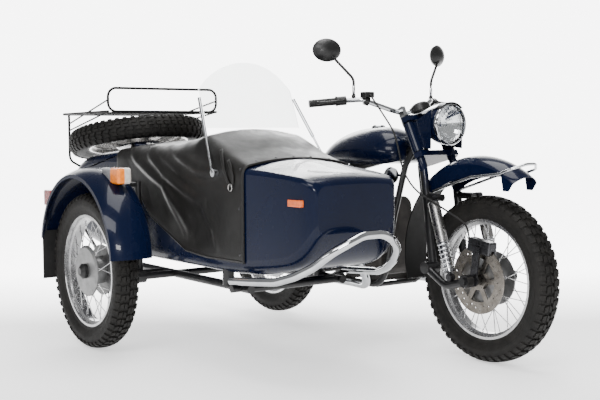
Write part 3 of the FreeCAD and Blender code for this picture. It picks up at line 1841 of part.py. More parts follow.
# Each row: share of the length, of the half width, rise of the floor, drop of the side top and
# crown as shares of the side height, then the lower and upper corners as shares of the lower corner.
tub_shares = (
    (0.000, 0.84, 0.30, -0.09, 0.02, 1.0, 0.8),
    (0.036, 0.92, 0.16, -0.02, 0.03, 1.0, 0.8),
    (0.112, 0.96, 0.05, 0.07, 0.035, 1.0, 0.8),
    (0.204, 0.98, 0.01, 0.11, 0.05, 1.0, 0.8),
    (0.278, 0.99, 0.00, 0.12, 0.06, 1.0, 0.8),
    (0.357, 1.00, 0.00, 0.08, 0.07, 1.0, 0.7),
    (0.490, 1.00, 0.00, 0.00, 0.09, 1.0, 0.6),
    (0.653, 0.985, 0.00, 0.00, 0.09, 1.0, 0.5),
    (0.814, 0.90, 0.01, 0.00, 0.075, 1.0, 0.4),
    (0.905, 0.835, 0.075, -0.035, 0.045, 0.9, 0.3),
    (0.962, 0.775, 0.185, -0.065, 0.03, 0.8, 0.3),
    (0.988, 0.72, 0.33, -0.095, 0.02, 0.7, 0.4),
    (1.000, 0.63, 0.44, -0.14, 0.01, 0.6, 0.6),
)


def tub_solid(inset):
    """The body's outer form, or the space inside its wall when an inset is given."""
    length = nose_x - tub_rear_x
    height = tub_side_top - tub_bottom
    sections = []
    for place, width, rise, lift, crown, low, high in tub_shares:
        x = tub_rear_x + length * place
        if place == 0:
            x = x + inset
        if place == 1:
            x = x - inset
        sections.append(tub_section(
            x,
            tub_half_width * width - inset,
            tub_bottom + height * rise + inset,
            tub_side_top + height * lift - inset,
            height * crown,
            tub_lower_corner * low - inset,
            tub_lower_corner * high - inset))
    return Part.makeLoft(sections, True, False)


def lid_region(gap):
    """Space above the sloping seam between the trunk and its lid."""
    half = lid_half_width + gap
    front = lid_front_x + gap
    rear = tub_rear_x - overrun
    high = cover_ridge_top * 2
    return slab([
        (rear, lid_seam_rear - gap),
        (front, lid_seam_front - gap),
        (front, high),
        (rear, high),
    ], body_y - half, body_y + half)


def sidecar_tub():
    hull = tub_solid(0).cut(tub_solid(tub_wall))
    cockpit = block(cockpit_rear_x, cockpit_front_x, body_y - tub_half_width + cockpit_inset,
                    body_y + tub_half_width - cockpit_inset, tub_side_top - tub_edge * 3,
                        cover_ridge_top * 2)
    corners = [e for e in cockpit.Edges if abs(e.tangentAt(0).z) > 0.9]
    cockpit = cockpit.makeFillet(cockpit_inset * 2, corners)
    shell = hull.cut(cockpit).cut(lid_region(lid_gap))
    knuckles = []
    for side in (1, -1):
        for inward in (1, -1):
            low = side * hinge_half_track + inward * (hinge_knuckle_length / 2 + hinge_knuckle_gap)
            knuckles.append(hinge_knuckle(low, low + inward * hinge_knuckle_length / 2, 1))
    return joined([shell] + [knuckle.cut(tub_solid(tub_wall / 2)) for knuckle in knuckles])


def hinge_knuckle(side_low, side_high, toward):
    """Barrel on the hinge axis with a leaf that runs forward (1) or back (-1) onto the body."""
    low = min(side_low, side_high) + body_y
    width = abs(side_high - side_low)
    barrel = Part.makeCylinder(hinge_radius, width, vec(hinge_x, low, hinge_height), Y_AXIS)
    end = hinge_x + toward * hinge_leaf_length
    leaf = block(min(hinge_x, end), max(hinge_x, end), low, low + width,
                 hinge_height - hinge_leaf_drop, hinge_height - hinge_radius / 2)
    return joined([barrel, leaf])


def trunk_lid():
    """Lid with the post that carries the spare wheel; it is open below."""
    lid = tub_solid(0).common(lid_region(0)).cut(
        tub_solid(lid_wall).common(lid_region(overrun).cut(lid_front_wall()))
    )
    tilt = math.radians(spare_tilt)
    down = vec(math.sin(tilt), 0, -math.cos(tilt))
    seat_point = vec(spare_x, body_y, spare_height) + down * (hub_half_width + fit_gap)
    post = rod(seat_point, seat_point + down * (spare_height - lid_seam_rear), spare_post_radius)
    pieces = [post]
    for side in (1, -1):
        middle = side * hinge_half_track
        pieces.append(
            hinge_knuckle(middle - hinge_knuckle_length / 2, middle + hinge_knuckle_length / 2, -1)
        )
    return joined([lid] + [piece.cut(tub_solid(lid_wall / 2)) for piece in pieces])


def lid_front_wall():
    return block(lid_front_x - lid_wall, lid_front_x + overrun * 2, body_y - lid_half_width,
        body_y + lid_half_width,
                 lid_seam_rear, cover_ridge_top * 2)


# Cover sections: share of the run from its rear edge to the collar, top over the body's side as a share
# of the ridge's rise, and the shoulder as a share.
cover_shares = (
    (0.00, 0.47, 0.50),
    (0.14, 0.56, 0.75),
    (0.45, 0.64, 0.90),
    (0.62, 0.84, 0.95),
    (0.688, 1.00, 1.00),
    (0.76, 0.80, 1.00),
    (0.88, 0.38, 0.80),
    (1.00, 0.034, 0.42),
)


def half_width_at(x):
    """Half width of the body at a place along it, read from its own shares."""
    share = (x - tub_rear_x) / (nose_x - tub_rear_x)
    for first, second in zip(tub_shares, tub_shares[1:]):
        if first[0] <= share <= second[0]:
            part = (share - first[0]) / (second[0] - first[0])
            return tub_half_width * (first[1] + (second[1] - first[1]) * part)
    return tub_half_width


def cover_solid(inset):
    length = collar_x - cover_rear_x
    rise = cover_ridge_top - tub_side_top
    sections = []
    for place, lift, shoulder in cover_shares:
        x = cover_rear_x + length * place
        half = half_width_at(x) + cover_gap * 4 + cover_sheet - inset
        sections.append(tub_section(
            x, half, tub_bottom, tub_side_top + rise * lift + cover_gap + cover_sheet - inset,
            cover_crown, tub_lower_corner - inset, cover_shoulder * shoulder - inset))
    return Part.makeLoft(sections, True, True)


def tonneau_cover():
    shell = cover_solid(0).cut(cover_solid(cover_sheet)).cut(tub_solid(-cover_gap))
    hem_rear = cover_rear_x - overrun
    hem_front = collar_x + overrun
    length = collar_x - cover_rear_x
    height = tub_side_top - tub_bottom
    below = slab([
        (hem_rear, 0),
        (hem_rear, tub_side_top - height * 0.16),
        (cover_rear_x + length * 0.2, tub_side_top - height * 0.28),
        (cover_rear_x + length * 0.31, tub_bottom + height * 0.45),
        (cover_rear_x + length * 0.6, cover_hem_height + tub_edge),
        (cover_rear_x + length * 0.75, cover_hem_height),
        (hem_front, cover_hem_height),
        (hem_front, 0),
    ], body_y - tub_half_width * 2, body_y + tub_half_width * 2)
    return shell.cut(below)


def screen_base():
    return cover_ridge_top + cover_crown + cover_gap + cover_sheet + screen_base_gap


def windshield():
    """Clear curved sheet, leaning back, with an arched top edge."""
    thickness = screen_thickness
    base = screen_base()
    lean = math.tan(math.radians(screen_rake))
    tall = screen_top - base
    plan = [
        (screen_edge_x, -screen_half_width),
        (screen_edge_x + screen_bulge, 0, screen_edge_x, screen_half_width),
        (screen_edge_x - thickness, screen_half_width),
        (screen_edge_x + screen_bulge - thickness, 0, screen_edge_x - thickness, -screen_half_width),
    ]
    low = base - overrun * 2
    wire = outline(plan, lambda x, y: vec(x + lean * (base - low), body_y + y, low))
    sheet = Part.Face(wire).extrude(
        vec(-lean * (screen_top + overrun - low), 0, screen_top + overrun - low)
    )
    shape = outline([
        (-screen_half_width, base),
        (-screen_half_width, screen_corner_height),
        (0, screen_top, screen_half_width, screen_corner_height),
        (screen_half_width, base),
    ], lambda y, z: vec(screen_edge_x - tall * 2, body_y + y, z))
    window = Part.Face(shape).extrude(vec(tall * 4, 0, 0))
    return sheet.common(window)


def windshield_struts():
    lean = math.tan(math.radians(screen_rake))
    base = screen_base()
    struts = []
    for side in (1, -1):
        cover_half = half_width_at(strut_foot_x) + cover_gap * 4 + cover_sheet
        foot_half = cover_half + strut_radius + strut_stand
        top_x = screen_edge_x - lean * (strut_top_height - base)
        foot = vec(strut_foot_x, body_y + side * foot_half, strut_foot_height)
        top = vec(top_x, body_y + side * (screen_half_width + strut_radius + fit_gap), strut_top_height)
        joint = foot + (top - foot) * strut_joint_share
        stick = joined([rod(foot, joint, strut_rod_radius), rod(joint, top, strut_radius)])
        pad = Part.makeCylinder(strut_foot_radius, strut_radius + strut_stand - fit_gap,
                                vec(foot.x, body_y + side * (cover_half + fit_gap), foot.z), Y_AXIS * side)
        struts.append(joined([stick, pad]).cut(cover_solid(-fit_gap)))
    return loose(struts)


# Sidecar frame, suspension, bumper and fender

def sidecar_frame():
    z = side_frame_height
    near = body_y - side_frame_half_width
    far = body_y + side_frame_half_width
    pieces = []
    for y in (near, far):
        pieces.append(rod(vec(side_frame_rear_x - side_frame_radius * 1.5, y, z),
                          vec(side_frame_front_x + side_frame_radius * 1.5, y, z), side_frame_radius))
    cross_radius = side_frame_radius - clamp_gap / 3
    ends_half = bumper_end_half
    for x, low, high in (
            (side_frame_rear_x, near, far),
            (arm_pivot_x, -arm_pivot_half, -cradle_half_width - frame_tube_radius - clamp_gap),
            (bumper_end_x, body_y - ends_half, body_y + ends_half),
            (side_frame_front_x, near, far)):
        pieces.append(rod(vec(x, low, z), vec(x, high, z), cross_radius))
    floor = tub_solid(-fit_gap)
    for x in (side_frame_rear_x + side_frame_bend * 3, side_frame_front_x - side_frame_bend * 2):
        for y in (near, far):
            pieces.append(
                rod(vec(x, y, z), vec(x, y, tub_bottom + overrun), side_frame_radius * 1.4).cut(floor)
            )
    pieces.append(rod(vec(post_x, near, z), vec(post_x, -post_half, z), cross_radius))
    pieces.append(
        rod(
            vec(post_x, -post_half, z - side_frame_radius),
            vec(post_x, -post_half, post_top),
            side_frame_radius,
        )
    )
    return joined(pieces + frame_braces() + side_fender_stays())


def frame_braces():
    """Struts that tie the sidecar frame to the motorcycle, low in front and high behind."""
    z = side_frame_height
    far = body_y + side_frame_half_width
    ball = brace_radius * 1.6
    share = (brace_front_height - cradle_height) / (engine_top - cradle_height)
    front_x = cradle_front_x + cradle_bend_radius * (1 + share) / 2
    front_y = cradle_half_width * (1 - share / 5) + frame_tube_radius + ball + fit_gap
    rear_y = cradle_half_width + frame_tube_radius + ball + fit_gap
    ends = (
        (vec(brace_start_x, far, z), vec(front_x, -front_y, brace_front_height)),
        (vec(arm_pivot_x - side_frame_bend, far, z), vec(upright_x, -rear_y, brace_rear_height)),
    )
    pieces = []
    for start, end in ends:
        pieces.append(rod(start, end, brace_radius))
        pieces.append(Part.makeSphere(ball, end))
    return pieces


def side_shock_x():
    return post_x - side_frame_radius - spring_radius - spring_wire_radius - clamp_gap


def sidecar_arm():
    """Trailing arm of the sidecar wheel, with its axle."""
    boss = arm_radius + fit_gap
    y = -arm_pivot_half - boss - fit_gap
    pivot = vec(arm_pivot_x, y, side_frame_height)
    axle = vec(sidecar_wheel_lead, y, tyre_radius)
    pieces = [
        rod(pivot, axle, arm_radius),
        Part.makeCylinder(arm_radius * 1.4, boss * 2, pivot - Y_AXIS * boss, Y_AXIS),
        Part.makeCylinder(arm_radius * 1.4, boss * 2, axle - Y_AXIS * boss, Y_AXIS),
        rod(axle, vec(sidecar_wheel_lead, -track - hub_half_width + clamp_gap, tyre_radius), axle_radius),
        Part.makeCylinder(
            hub_drum_radius,
            arm_radius / 2,
            vec(sidecar_wheel_lead, -track + hub_half_width + clamp_gap, tyre_radius),
            Y_AXIS,
        ),
    ]
    lug_x = side_shock_x()
    pieces.append(rod(vec(lug_x, y, tyre_radius), vec(lug_x, -post_half, tyre_radius), arm_radius * 0.7))
    return joined(pieces)


def sidecar_shock():
    foot = vec(
        side_shock_x(),
        -post_half + fit_gap,
        tyre_radius + arm_radius * 0.7 + shock_eye_radius + fit_gap,
    )
    top = vec(side_shock_x(), -post_half, post_top - shock_eye_radius)
    whole = shock(top, foot, side_shock_radius)
    bracket = rod(top, vec(post_x - side_frame_radius - fit_gap, -post_half, top.z), shock_eye_radius * 0.7)
    return joined([whole, bracket])


bumper_shares = (
    (0.00, 1.00, 0.00),
    (0.24, 0.965, 0.05),
    (0.50, 0.893, 0.11),
    (0.66, 0.804, 0.24),
    (0.80, 0.696, 0.43),
    (0.92, 0.571, 0.70),
    (0.99, 0.340, 0.90),
    (1.00, 0.16, 1.00),
)


def bumper():
    run = bumper_front_x - bumper_end_x
    rise = bumper_high - bumper_low
    half = []
    for forward, aside, up in bumper_shares:
        half.append(
            vec(bumper_end_x + run * forward, body_y - bumper_end_half * aside, bumper_low + rise * up)
        )
    other = [vec(p.x, 2 * body_y - p.y, p.z) for p in reversed(half)]
    return tube(half + other, bumper_radius, bumper_bend)


def side_fender():
    centre = vec(side_fender_centre_x, -side_fender_middle, side_fender_height)
    return fender_shell(centre, side_fender_radius, side_fender_half_width, side_fender_drop,
                        side_fender_radius - side_fender_depth, fender_sheet,
                        side_fender_front_angle, side_fender_rear_angle)


def side_fender_point(angle, beyond):
    """Point over the crown of the sidecar fender at an angle up from straight ahead."""
    turn = math.radians(angle)
    reach = side_fender_radius + beyond
    return vec(side_fender_centre_x + reach * math.cos(turn), -side_fender_middle,
               side_fender_height + reach * math.sin(turn))


def side_fender_stays():
    """Stays from the frame's post and its rear corner to the inside wall of the fender."""
    inner = -side_fender_middle + side_fender_half_width
    rear = vec(rear_stay_x, body_y - side_frame_half_width, side_frame_height)
    end = vec(rear_stay_end_x, inner + fender_stay_radius, rear_stay_end_height)
    return [
        rod(
            vec(post_x, -post_half, post_top - overrun),
            vec(post_x, -post_half, stay_height + brace_radius),
            brace_radius,
        ),
        rod(vec(post_x, -post_half, stay_height), vec(post_x, inner, stay_height), brace_radius * 0.8),
        rod(rear, end, fender_stay_radius),
        rod(end + Y_AXIS * fender_stay_radius, vec(end.x, inner, end.z), fender_stay_radius * 1.5),
    ]


def side_flap():
    centre = vec(side_fender_centre_x, -side_fender_middle, side_fender_height)
    end = math.radians(side_fender_rear_angle)
    reach = side_fender_radius - fender_sheet - side_fender_drop * 0.6
    top_x = centre.x + reach * math.cos(end)
    top_z = centre.z + reach * math.sin(end)
    steps = [
        (top_x, top_z + side_fender_drop),
        (top_x + side_flap_thickness, top_z + side_fender_drop),
        (top_x + side_flap_thickness, side_flap_bottom),
        (top_x, side_flap_bottom),
    ]
    flap = slab(
        steps,
        -side_fender_middle - side_flap_half_width,
        -side_fender_middle + side_flap_half_width,
    )
    return flap.cut(side_fender())


def fender_seated(shape):
    """Cut away what would reach into the sidecar fender's crown."""
    centre = vec(side_fender_centre_x, -side_fender_middle - track, side_fender_height)
    drum = Part.makeCylinder(side_fender_radius + fit_gap, track * 2, centre, Y_AXIS)
    return shape.cut(drum)


def front_marker():
    place = side_fender_point(marker_angle, marker_height / 4)
    box = soft_block(-marker_length / 2, marker_length / 2, -marker_width / 2, marker_width / 2,
                     -marker_height / 2, marker_height / 2, marker_height / 6)
    box.translate(place + Y_AXIS * marker_aside)
    return fender_seated(box)


def side_tail_lamp():
    place = vec(side_fender_centre_x - side_fender_radius * 0.93,
        -side_fender_middle - side_fender_half_width * 0.3,
                side_fender_height + side_fender_radius * 0.62)
    box = soft_block(-side_tail_length, side_tail_length, -side_tail_width / 2, side_tail_width / 2,
                     -side_tail_height / 2, side_tail_height / 2, side_tail_length / 5)
    box.translate(place)
    return fender_seated(box)


def reflector():
    half = half_width_at(reflector_x)
    low = body_y - half - reflector_depth
    box = soft_block(reflector_x - reflector_length / 2, reflector_x + reflector_length / 2,
                     low, low + reflector_depth * 3, reflector_z - reflector_height / 2,
                     reflector_z + reflector_height / 2, reflector_depth / 3)
    return box.cut(tub_solid(-fit_gap))


# Spare wheel and rack

def tilted(shape):
    """Laid flat and tilted as the spare wheel lies on the lid."""
    shape.rotate(vec(0, 0, 0), X_AXIS, 90)
    shape.rotate(vec(0, 0, 0), Y_AXIS, -spare_tilt)
    shape.translate(vec(spare_x, body_y, spare_height))
    return shape


def luggage_rack():
    near = body_y - rack_half_width
    far = body_y + rack_half_width
    tray = [
        vec(rack_front_x, near, rack_base_front),
        vec(rack_rear_x, near, rack_base_rear),
        vec(rack_rear_x, far, rack_base_rear),
        vec(rack_front_x, far, rack_base_front),
    ]
    pieces = [tube(tray, rack_tube_radius, rack_bend)]
    hoop_high = rack_hoop_top
    frame = [
        vec(rack_front_x, body_y, rack_base_front),
        vec(rack_front_x, near, rack_base_front),
        vec(rack_front_x, near, hoop_high),
        vec(rack_front_x, far, hoop_high),
        vec(rack_front_x, far, rack_base_front),
        vec(rack_front_x, body_y, rack_base_front),
    ]
    pieces.append(tube(frame, rack_tube_radius, rack_bend))
    middle_height = (rack_base_front + hoop_high) / 2
    for y, inward in ((near, 1), (far, -1)):
        leg_y = y + inward * rack_bend
        for drop, height in ((rack_brace_drop, middle_height), (rack_side_rail_drop, rack_base_front)):
            start = vec(rack_rear_x, leg_y, rack_base_rear - drop)
            pieces.append(rod(start, vec(rack_front_x, y, height), rack_slat_radius))
    for index in range(1, rack_slat_count + 1):
        y = near + (far - near) * index / (rack_slat_count + 1)
        pieces.append(
            rod(
                vec(rack_rear_x, y, rack_base_rear),
                vec(rack_front_x, y, rack_base_front),
                rack_slat_radius,
            )
        )
    for y, inward in ((near, 1), (far, -1)):
        leg_y = y + inward * rack_bend
        pieces.append(tube([
            vec(rack_rear_x, leg_y, rack_base_rear),
            vec(rack_rear_x, leg_y, rack_foot_height + rack_bend),
            vec(rack_foot_x, leg_y + inward * rack_bend, rack_foot_height),
        ], rack_tube_radius, rack_bend))
    rack = joined(pieces)
    return rack.cut(tub_solid(0))


def build():
    front_centre = vec(wheelbase, 0, tyre_radius)
    rear_centre = vec(0, 0, tyre_radius)
    side_centre = vec(sidecar_wheel_lead, -track, tyre_radius)
    origin = vec(0, 0, 0)
    bare_tyre = tyre(origin)
    bare_wheel = wire_wheel(origin)

    def placed(shape, centre):
        copy = shape.copy()
        copy.translate(centre)
        return copy

    parts = {
        "motorcycle_frame": motorcycle_frame(),
        "engine_block": engine_block(),
        "engine_cylinders": cylinders(),
        "carburettors": intake(),
        "exhausts": exhausts(),
        "fuel_tank": fuel_tank(),
        "fuel_cap": fuel_cap(),
        "rider_seat": seat(),
        "rear_fender": rear_fender(),
        "rear_lamp": tail_lamp(),
        "plate_bracket": plate_bracket(),
        "rear_swingarm": swingarm(),
        "rear_shocks": rear_shocks(),
        "foot_controls": foot_controls(),
        "side_boxes": side_boxes(),
        "horn": horn(),
        "fork": fork(),
        "leading_links": leading_links(),
        "front_shocks": front_shocks(),
        "headlight_ears": headlight_ears(),
        "headlight_shell": headlight_shell(),
        "headlight_ring": headlight_ring(),
        "headlight_lens": headlight_lens(),
        "nacelle_cover": nacelle_cover(),
        "speedometer": speedometer(),
        "handlebar": handlebar(),
        "grips": grips(),
        "hand_controls": hand_controls(),
        "mirrors": mirrors(),
        "front_fender": front_fender(),
        "front_flap": front_flap(),
        "fender_rail": fender_rail(),
        "brake_caliper": caliper(),
        "brake_hose": brake_hose(),
        "switch_lead": switch_lead(),
        "front_tyre": placed(bare_tyre, front_centre),
        "front_wheel": placed(bare_wheel, front_centre),
        "brake_disc": brake_disc(front_centre),
        "rear_tyre": placed(bare_tyre, rear_centre),
        "rear_wheel": placed(bare_wheel, rear_centre),
        "sidecar_tyre": placed(bare_tyre, side_centre),
        "sidecar_wheel": placed(bare_wheel, side_centre),
        "sidecar_hub_cap": hub_cap(side_centre, -1),
        "sidecar_frame": sidecar_frame(),
        "sidecar_arm": sidecar_arm(),
        "sidecar_shock": sidecar_shock(),
        "sidecar_tub": sidecar_tub(),
        "tonneau_cover": tonneau_cover(),
        "windshield": windshield(),
        "windshield_struts": windshield_struts(),
        "bumper": bumper(),
        "sidecar_fender": side_fender(),
        "sidecar_flap": side_flap(),
        "marker_lamp": front_marker(),
        "sidecar_tail_lamp": side_tail_lamp(),
        "side_reflector": reflector(),
        "trunk_lid": trunk_lid(),
        "spare_tyre": tilted(bare_tyre.copy()),
        "spare_wheel": tilted(bare_wheel.copy()),
        "luggage_rack": luggage_rack(),
    }
    return parts


def main():
    os.makedirs("parts", exist_ok=True)
    parts = build()
    front = wheelbase + tyre_radius
    rear = spare_x - tyre_radius * math.cos(math.radians(spare_tilt))
    left = bar_end_half + grip_radius * 0.6
    right = -side_fender_middle - side_fender_half_width
    shift = vec(-(front + rear) / 2, -(left + right) / 2, 0)
    for name, shape in parts.items():
        shape.translate(shift)
        shape.exportStep(f"parts/{name}.step")
    print("brake hose arc radii", arc_radii(hose_places, track))
    print("switch lead arc radii", arc_radii(lead_places, track))


main()
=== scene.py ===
import bpy
import bmesh
import json
import math
import numpy as np
from mathutils import Matrix, Vector
from mathutils.bvhtree import BVHTree


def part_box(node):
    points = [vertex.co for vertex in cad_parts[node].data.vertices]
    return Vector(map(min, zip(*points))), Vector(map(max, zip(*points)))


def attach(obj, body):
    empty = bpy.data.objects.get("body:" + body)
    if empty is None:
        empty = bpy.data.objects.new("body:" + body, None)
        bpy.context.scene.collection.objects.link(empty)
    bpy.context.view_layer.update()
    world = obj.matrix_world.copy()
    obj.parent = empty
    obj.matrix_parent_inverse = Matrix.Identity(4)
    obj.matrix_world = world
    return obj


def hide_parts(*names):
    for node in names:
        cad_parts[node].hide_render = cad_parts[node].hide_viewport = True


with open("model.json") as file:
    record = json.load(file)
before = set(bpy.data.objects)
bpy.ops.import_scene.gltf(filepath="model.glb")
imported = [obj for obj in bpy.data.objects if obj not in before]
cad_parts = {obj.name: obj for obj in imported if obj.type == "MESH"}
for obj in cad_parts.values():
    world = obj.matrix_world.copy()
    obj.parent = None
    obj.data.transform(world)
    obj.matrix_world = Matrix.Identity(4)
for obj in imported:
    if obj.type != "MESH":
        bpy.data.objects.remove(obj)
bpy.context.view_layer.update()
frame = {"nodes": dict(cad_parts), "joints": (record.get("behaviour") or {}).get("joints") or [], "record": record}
NODES = frame["nodes"]
MM = 0.001

# Places of the wheels and of the sidecar, read from the frame
JOINTS = {joint["name"]: joint for joint in frame["joints"]}
FRONT_AXLE = Vector(JOINTS["front_wheel_spin"]["pos_m"])
REAR_AXLE = Vector(JOINTS["rear_wheel_spin"]["pos_m"])
SIDE_AXLE = Vector(JOINTS["sidecar_wheel_spin"]["pos_m"])
BODY_Y = Vector(JOINTS["trunk_hinge"]["pos_m"]).y
# Places in millimetres count from a point on the ground a little ahead of the rear axle
AHEAD_OF_AXLE = 0.578
START = Vector((REAR_AXLE.x + AHEAD_OF_AXLE * MM, REAR_AXLE.y, 0.0))

X_WAY = Vector((1, 0, 0))
Y_WAY = Vector((0, 1, 0))
Z_WAY = Vector((0, 0, 1))
ORIGIN = Vector((0, 0, 0))


def at(x, y, z):
    """A place given in millimetres."""
    return Vector((x, y, z)) * MM + START


# Camera at the photograph's viewing angle, fitted to the outlines of the three road wheels
VIEW_PLACE = (3.7862, -2.6639, 0.9547)
VIEW_TURN = math.radians(53.736)
VIEW_DOWN = math.radians(3.870)
VIEW_ROLL = math.radians(-0.321)
FOCAL_PIXELS = 1023.1
PHOTO_WIDTH = 600
SENSOR_WIDTH = 36.0
FAR_CLIP = 100


def make_camera():
    level = math.cos(VIEW_DOWN)
    back = Vector((math.sin(VIEW_TURN) * level, -math.cos(VIEW_TURN) * level, math.sin(VIEW_DOWN)))
    right = Vector((math.cos(VIEW_TURN), math.sin(VIEW_TURN), 0))
    up = back.cross(right)
    side = right * math.cos(VIEW_ROLL) + up * math.sin(VIEW_ROLL)
    top = up * math.cos(VIEW_ROLL) - right * math.sin(VIEW_ROLL)
    data = bpy.data.cameras.new("camera")
    data.sensor_width = SENSOR_WIDTH
    data.lens = FOCAL_PIXELS / PHOTO_WIDTH * SENSOR_WIDTH
    data.clip_end = FAR_CLIP
    camera = bpy.data.objects.new("camera", data)
    camera.matrix_world = Matrix((
        (side.x, top.x, back.x, VIEW_PLACE[0]),
        (side.y, top.y, back.y, VIEW_PLACE[1]),
        (side.z, top.z, back.z, VIEW_PLACE[2]),
        (0, 0, 0, 1)))
    bpy.context.scene.collection.objects.link(camera)
    bpy.context.scene.camera = camera


# Materials. A texture's scale is the shader's own, finer when larger. Relief is in metres, colours are linear
class Tree:
    """The nodes of one material or of the world, with short ways to add to them."""

    def __init__(self, owner, coordinates="Object"):
        owner.use_nodes = True
        self.nodes = owner.node_tree.nodes
        self.links = owner.node_tree.links
        self.shader = self.nodes.get("Principled BSDF")
        self.place = self.add("ShaderNodeTexCoord").outputs[coordinates]

    def add(self, kind, **settings):
        node = self.nodes.new(kind)
        for key, value in settings.items():
            if key in node.inputs:
                node.inputs[key].default_value = value
            else:
                setattr(node, key, value)
        return node

    def fill(self, socket, value):
        """One input, as a number, a colour or another node's output."""
        if isinstance(value, bpy.types.NodeSocket):
            self.links.new(value, socket)
        elif isinstance(value, tuple) and len(socket.default_value) == len(value) + 1:
            socket.default_value = (*value, 1)
        else:
            socket.default_value = value

    def put(self, name, value):
        """One input of the material's shader."""
        self.fill(self.shader.inputs[name], value)

    def noise(self, scale, detail=3.0):
        node = self.add("ShaderNodeTexNoise", Scale=scale, Detail=detail)
        self.links.new(self.place, node.inputs["Vector"])
        return node.outputs["Fac"]

    def wave(self, scale, **settings):
        node = self.add("ShaderNodeTexWave", Scale=scale, **settings)
        self.links.new(self.place, node.inputs["Vector"])
        return node.outputs["Fac"]

    def spread(self, value, low, high, start=0.3, end=0.7):
        """What runs from start to end, stretched to run from low to high."""
        node = self.nodes.new("ShaderNodeMapRange")
        for name, number in (("From Min", start), ("From Max", end), ("To Min", low), ("To Max", high)):
            node.inputs[name].default_value = number
        self.links.new(value, node.inputs["Value"])
        return node.outputs["Result"]

    def cloud(self, scale, detail=3.0):
        """Soft patches between nothing and one."""
        return self.spread(self.noise(scale, detail), 0.0, 1.0)

    def blend(self, factor, first, second, kind="RGBA"):
        node = self.add("ShaderNodeMix", data_type=kind)
        self.fill(node.inputs["Factor"], factor)
        self.fill(node.inputs["A"], first)
        self.fill(node.inputs["B"], second)
        return node.outputs["Result"]

    def bump(self, height, distance, strength, under=None):
        node = self.add("ShaderNodeBump", Strength=strength, Distance=distance)
        self.links.new(height, node.inputs["Height"])
        if under is not None:
            self.links.new(under, node.inputs["Normal"])
        return node.outputs["Normal"]

    def sum_up(self, operation, *terms):
        node = self.add("ShaderNodeMath", operation=operation)
        for socket, term in zip(node.inputs, terms):
            self.fill(socket, term)
        return node.outputs["Value"]

    def dotted(self, direction):
        """How far the place lies along a direction."""
        node = self.add("ShaderNodeVectorMath", operation="DOT_PRODUCT")
        self.links.new(self.place, node.inputs[0])
        node.inputs[1].default_value = direction
        return node.outputs["Value"]

    def past(self, axis, edge):
        """Nothing before a place along one axis and one after it."""
        parts = self.nodes.new("ShaderNodeSeparateXYZ")
        self.links.new(self.place, parts.inputs["Vector"])
        return self.sum_up("GREATER_THAN", parts.outputs[axis], edge)


def started(name):
    material = bpy.data.materials.new(name)
    return material, Tree(material)


WIDE_RELIEF_SCALE = 30.0
COAT_ROUGHNESS = 0.04


def surface(name, dark, light, rough, metal=0.0, coat=0.0, mottle=14.0, grain=700.0, depth=0.0001, shine=0.5):
    """A surface whose colour, roughness and relief all vary at the scale of the real material."""
    material, tree = started(name)
    tree.put("Base Color", tree.blend(tree.cloud(mottle, 5.0), dark, light))
    tree.put("Roughness", tree.spread(tree.noise(mottle * 4, 4.0), *rough))
    tree.put("Metallic", metal)
    tree.put("Coat Weight", coat)
    tree.put("Coat Roughness", COAT_ROUGHNESS)
    tree.put("Specular IOR Level", shine)
    fine = tree.bump(tree.noise(grain, 2.0), depth, 0.5)
    tree.put("Normal", tree.bump(tree.noise(WIDE_RELIEF_SCALE, 2.0), depth, 0.25, fine))
    return material


def grained(name, dark, light, rough, cell=620.0, depth=0.0004):
    """Coated cloth: a leather-like grain of small cells over slow changes of tone."""
    material, tree = started(name)
    tree.put("Base Color", tree.blend(tree.cloud(5.0, 6.0), dark, light))
    tree.put("Roughness", tree.spread(tree.noise(22.0, 4.0), *rough))
    tree.put("Specular IOR Level", 0.28)
    cells = tree.add("ShaderNodeTexVoronoi", Scale=cell, feature="SMOOTH_F1")
    tree.links.new(tree.place, cells.inputs["Vector"])
    low = tree.bump(cells.outputs["Distance"], depth, 0.45)
    tree.put("Normal", tree.bump(tree.noise(120.0), depth * 2, 0.3, low))
    return material


def clear(name, tint, rough=0.02):
    """Clear sheet or glass with a faint haze."""
    material, tree = started(name)
    haze = tree.noise(14.0, 5.0)
    darker = tuple(c * 0.97 for c in tint)
    tree.put("Base Color", tree.blend(tree.spread(haze, 0.0, 1.0), tint, darker))
    tree.put("Roughness", tree.spread(haze, rough, rough * 3))
    tree.put("Transmission Weight", 1.0)
    tree.put("IOR", 1.2)
    return material


def sealed_glass(name):
    """Headlight glass with upright flutes."""
    material, tree = started(name)
    haze = tree.noise(30.0, 4.0)
    tree.put("Base Color", tree.blend(tree.spread(haze, 0.0, 1.0), (0.97, 0.98, 0.98), (0.93, 0.95, 0.95)))
    tree.put("Roughness", tree.spread(haze, 0.01, 0.04))
    tree.put("Transmission Weight", 1.0)
    tree.put("IOR", 1.12)
    flutes = tree.wave(26.0, Distortion=0.3, bands_direction="Y")
    tree.put("Normal", tree.bump(flutes, 0.003, 0.35))
    return material


def lens(name, colour):
    """Moulded plastic lens with fine ribs."""
    material, tree = started(name)
    lighter = tuple(min(1.0, c * 1.5 + 0.01) for c in colour)
    tree.put("Base Color", tree.blend(tree.cloud(60.0), colour, lighter))
    tree.put("Roughness", tree.spread(tree.noise(200.0), 0.1, 0.22))
    tree.put("Transmission Weight", 0.25)
    tree.put("Coat Weight", 0.6)
    tree.put("Normal", tree.bump(tree.wave(140.0, Distortion=0.0), 0.0006, 0.6))
    return material


HOUSING_SHARE = 0.56
AMBER_SHARE = 0.48


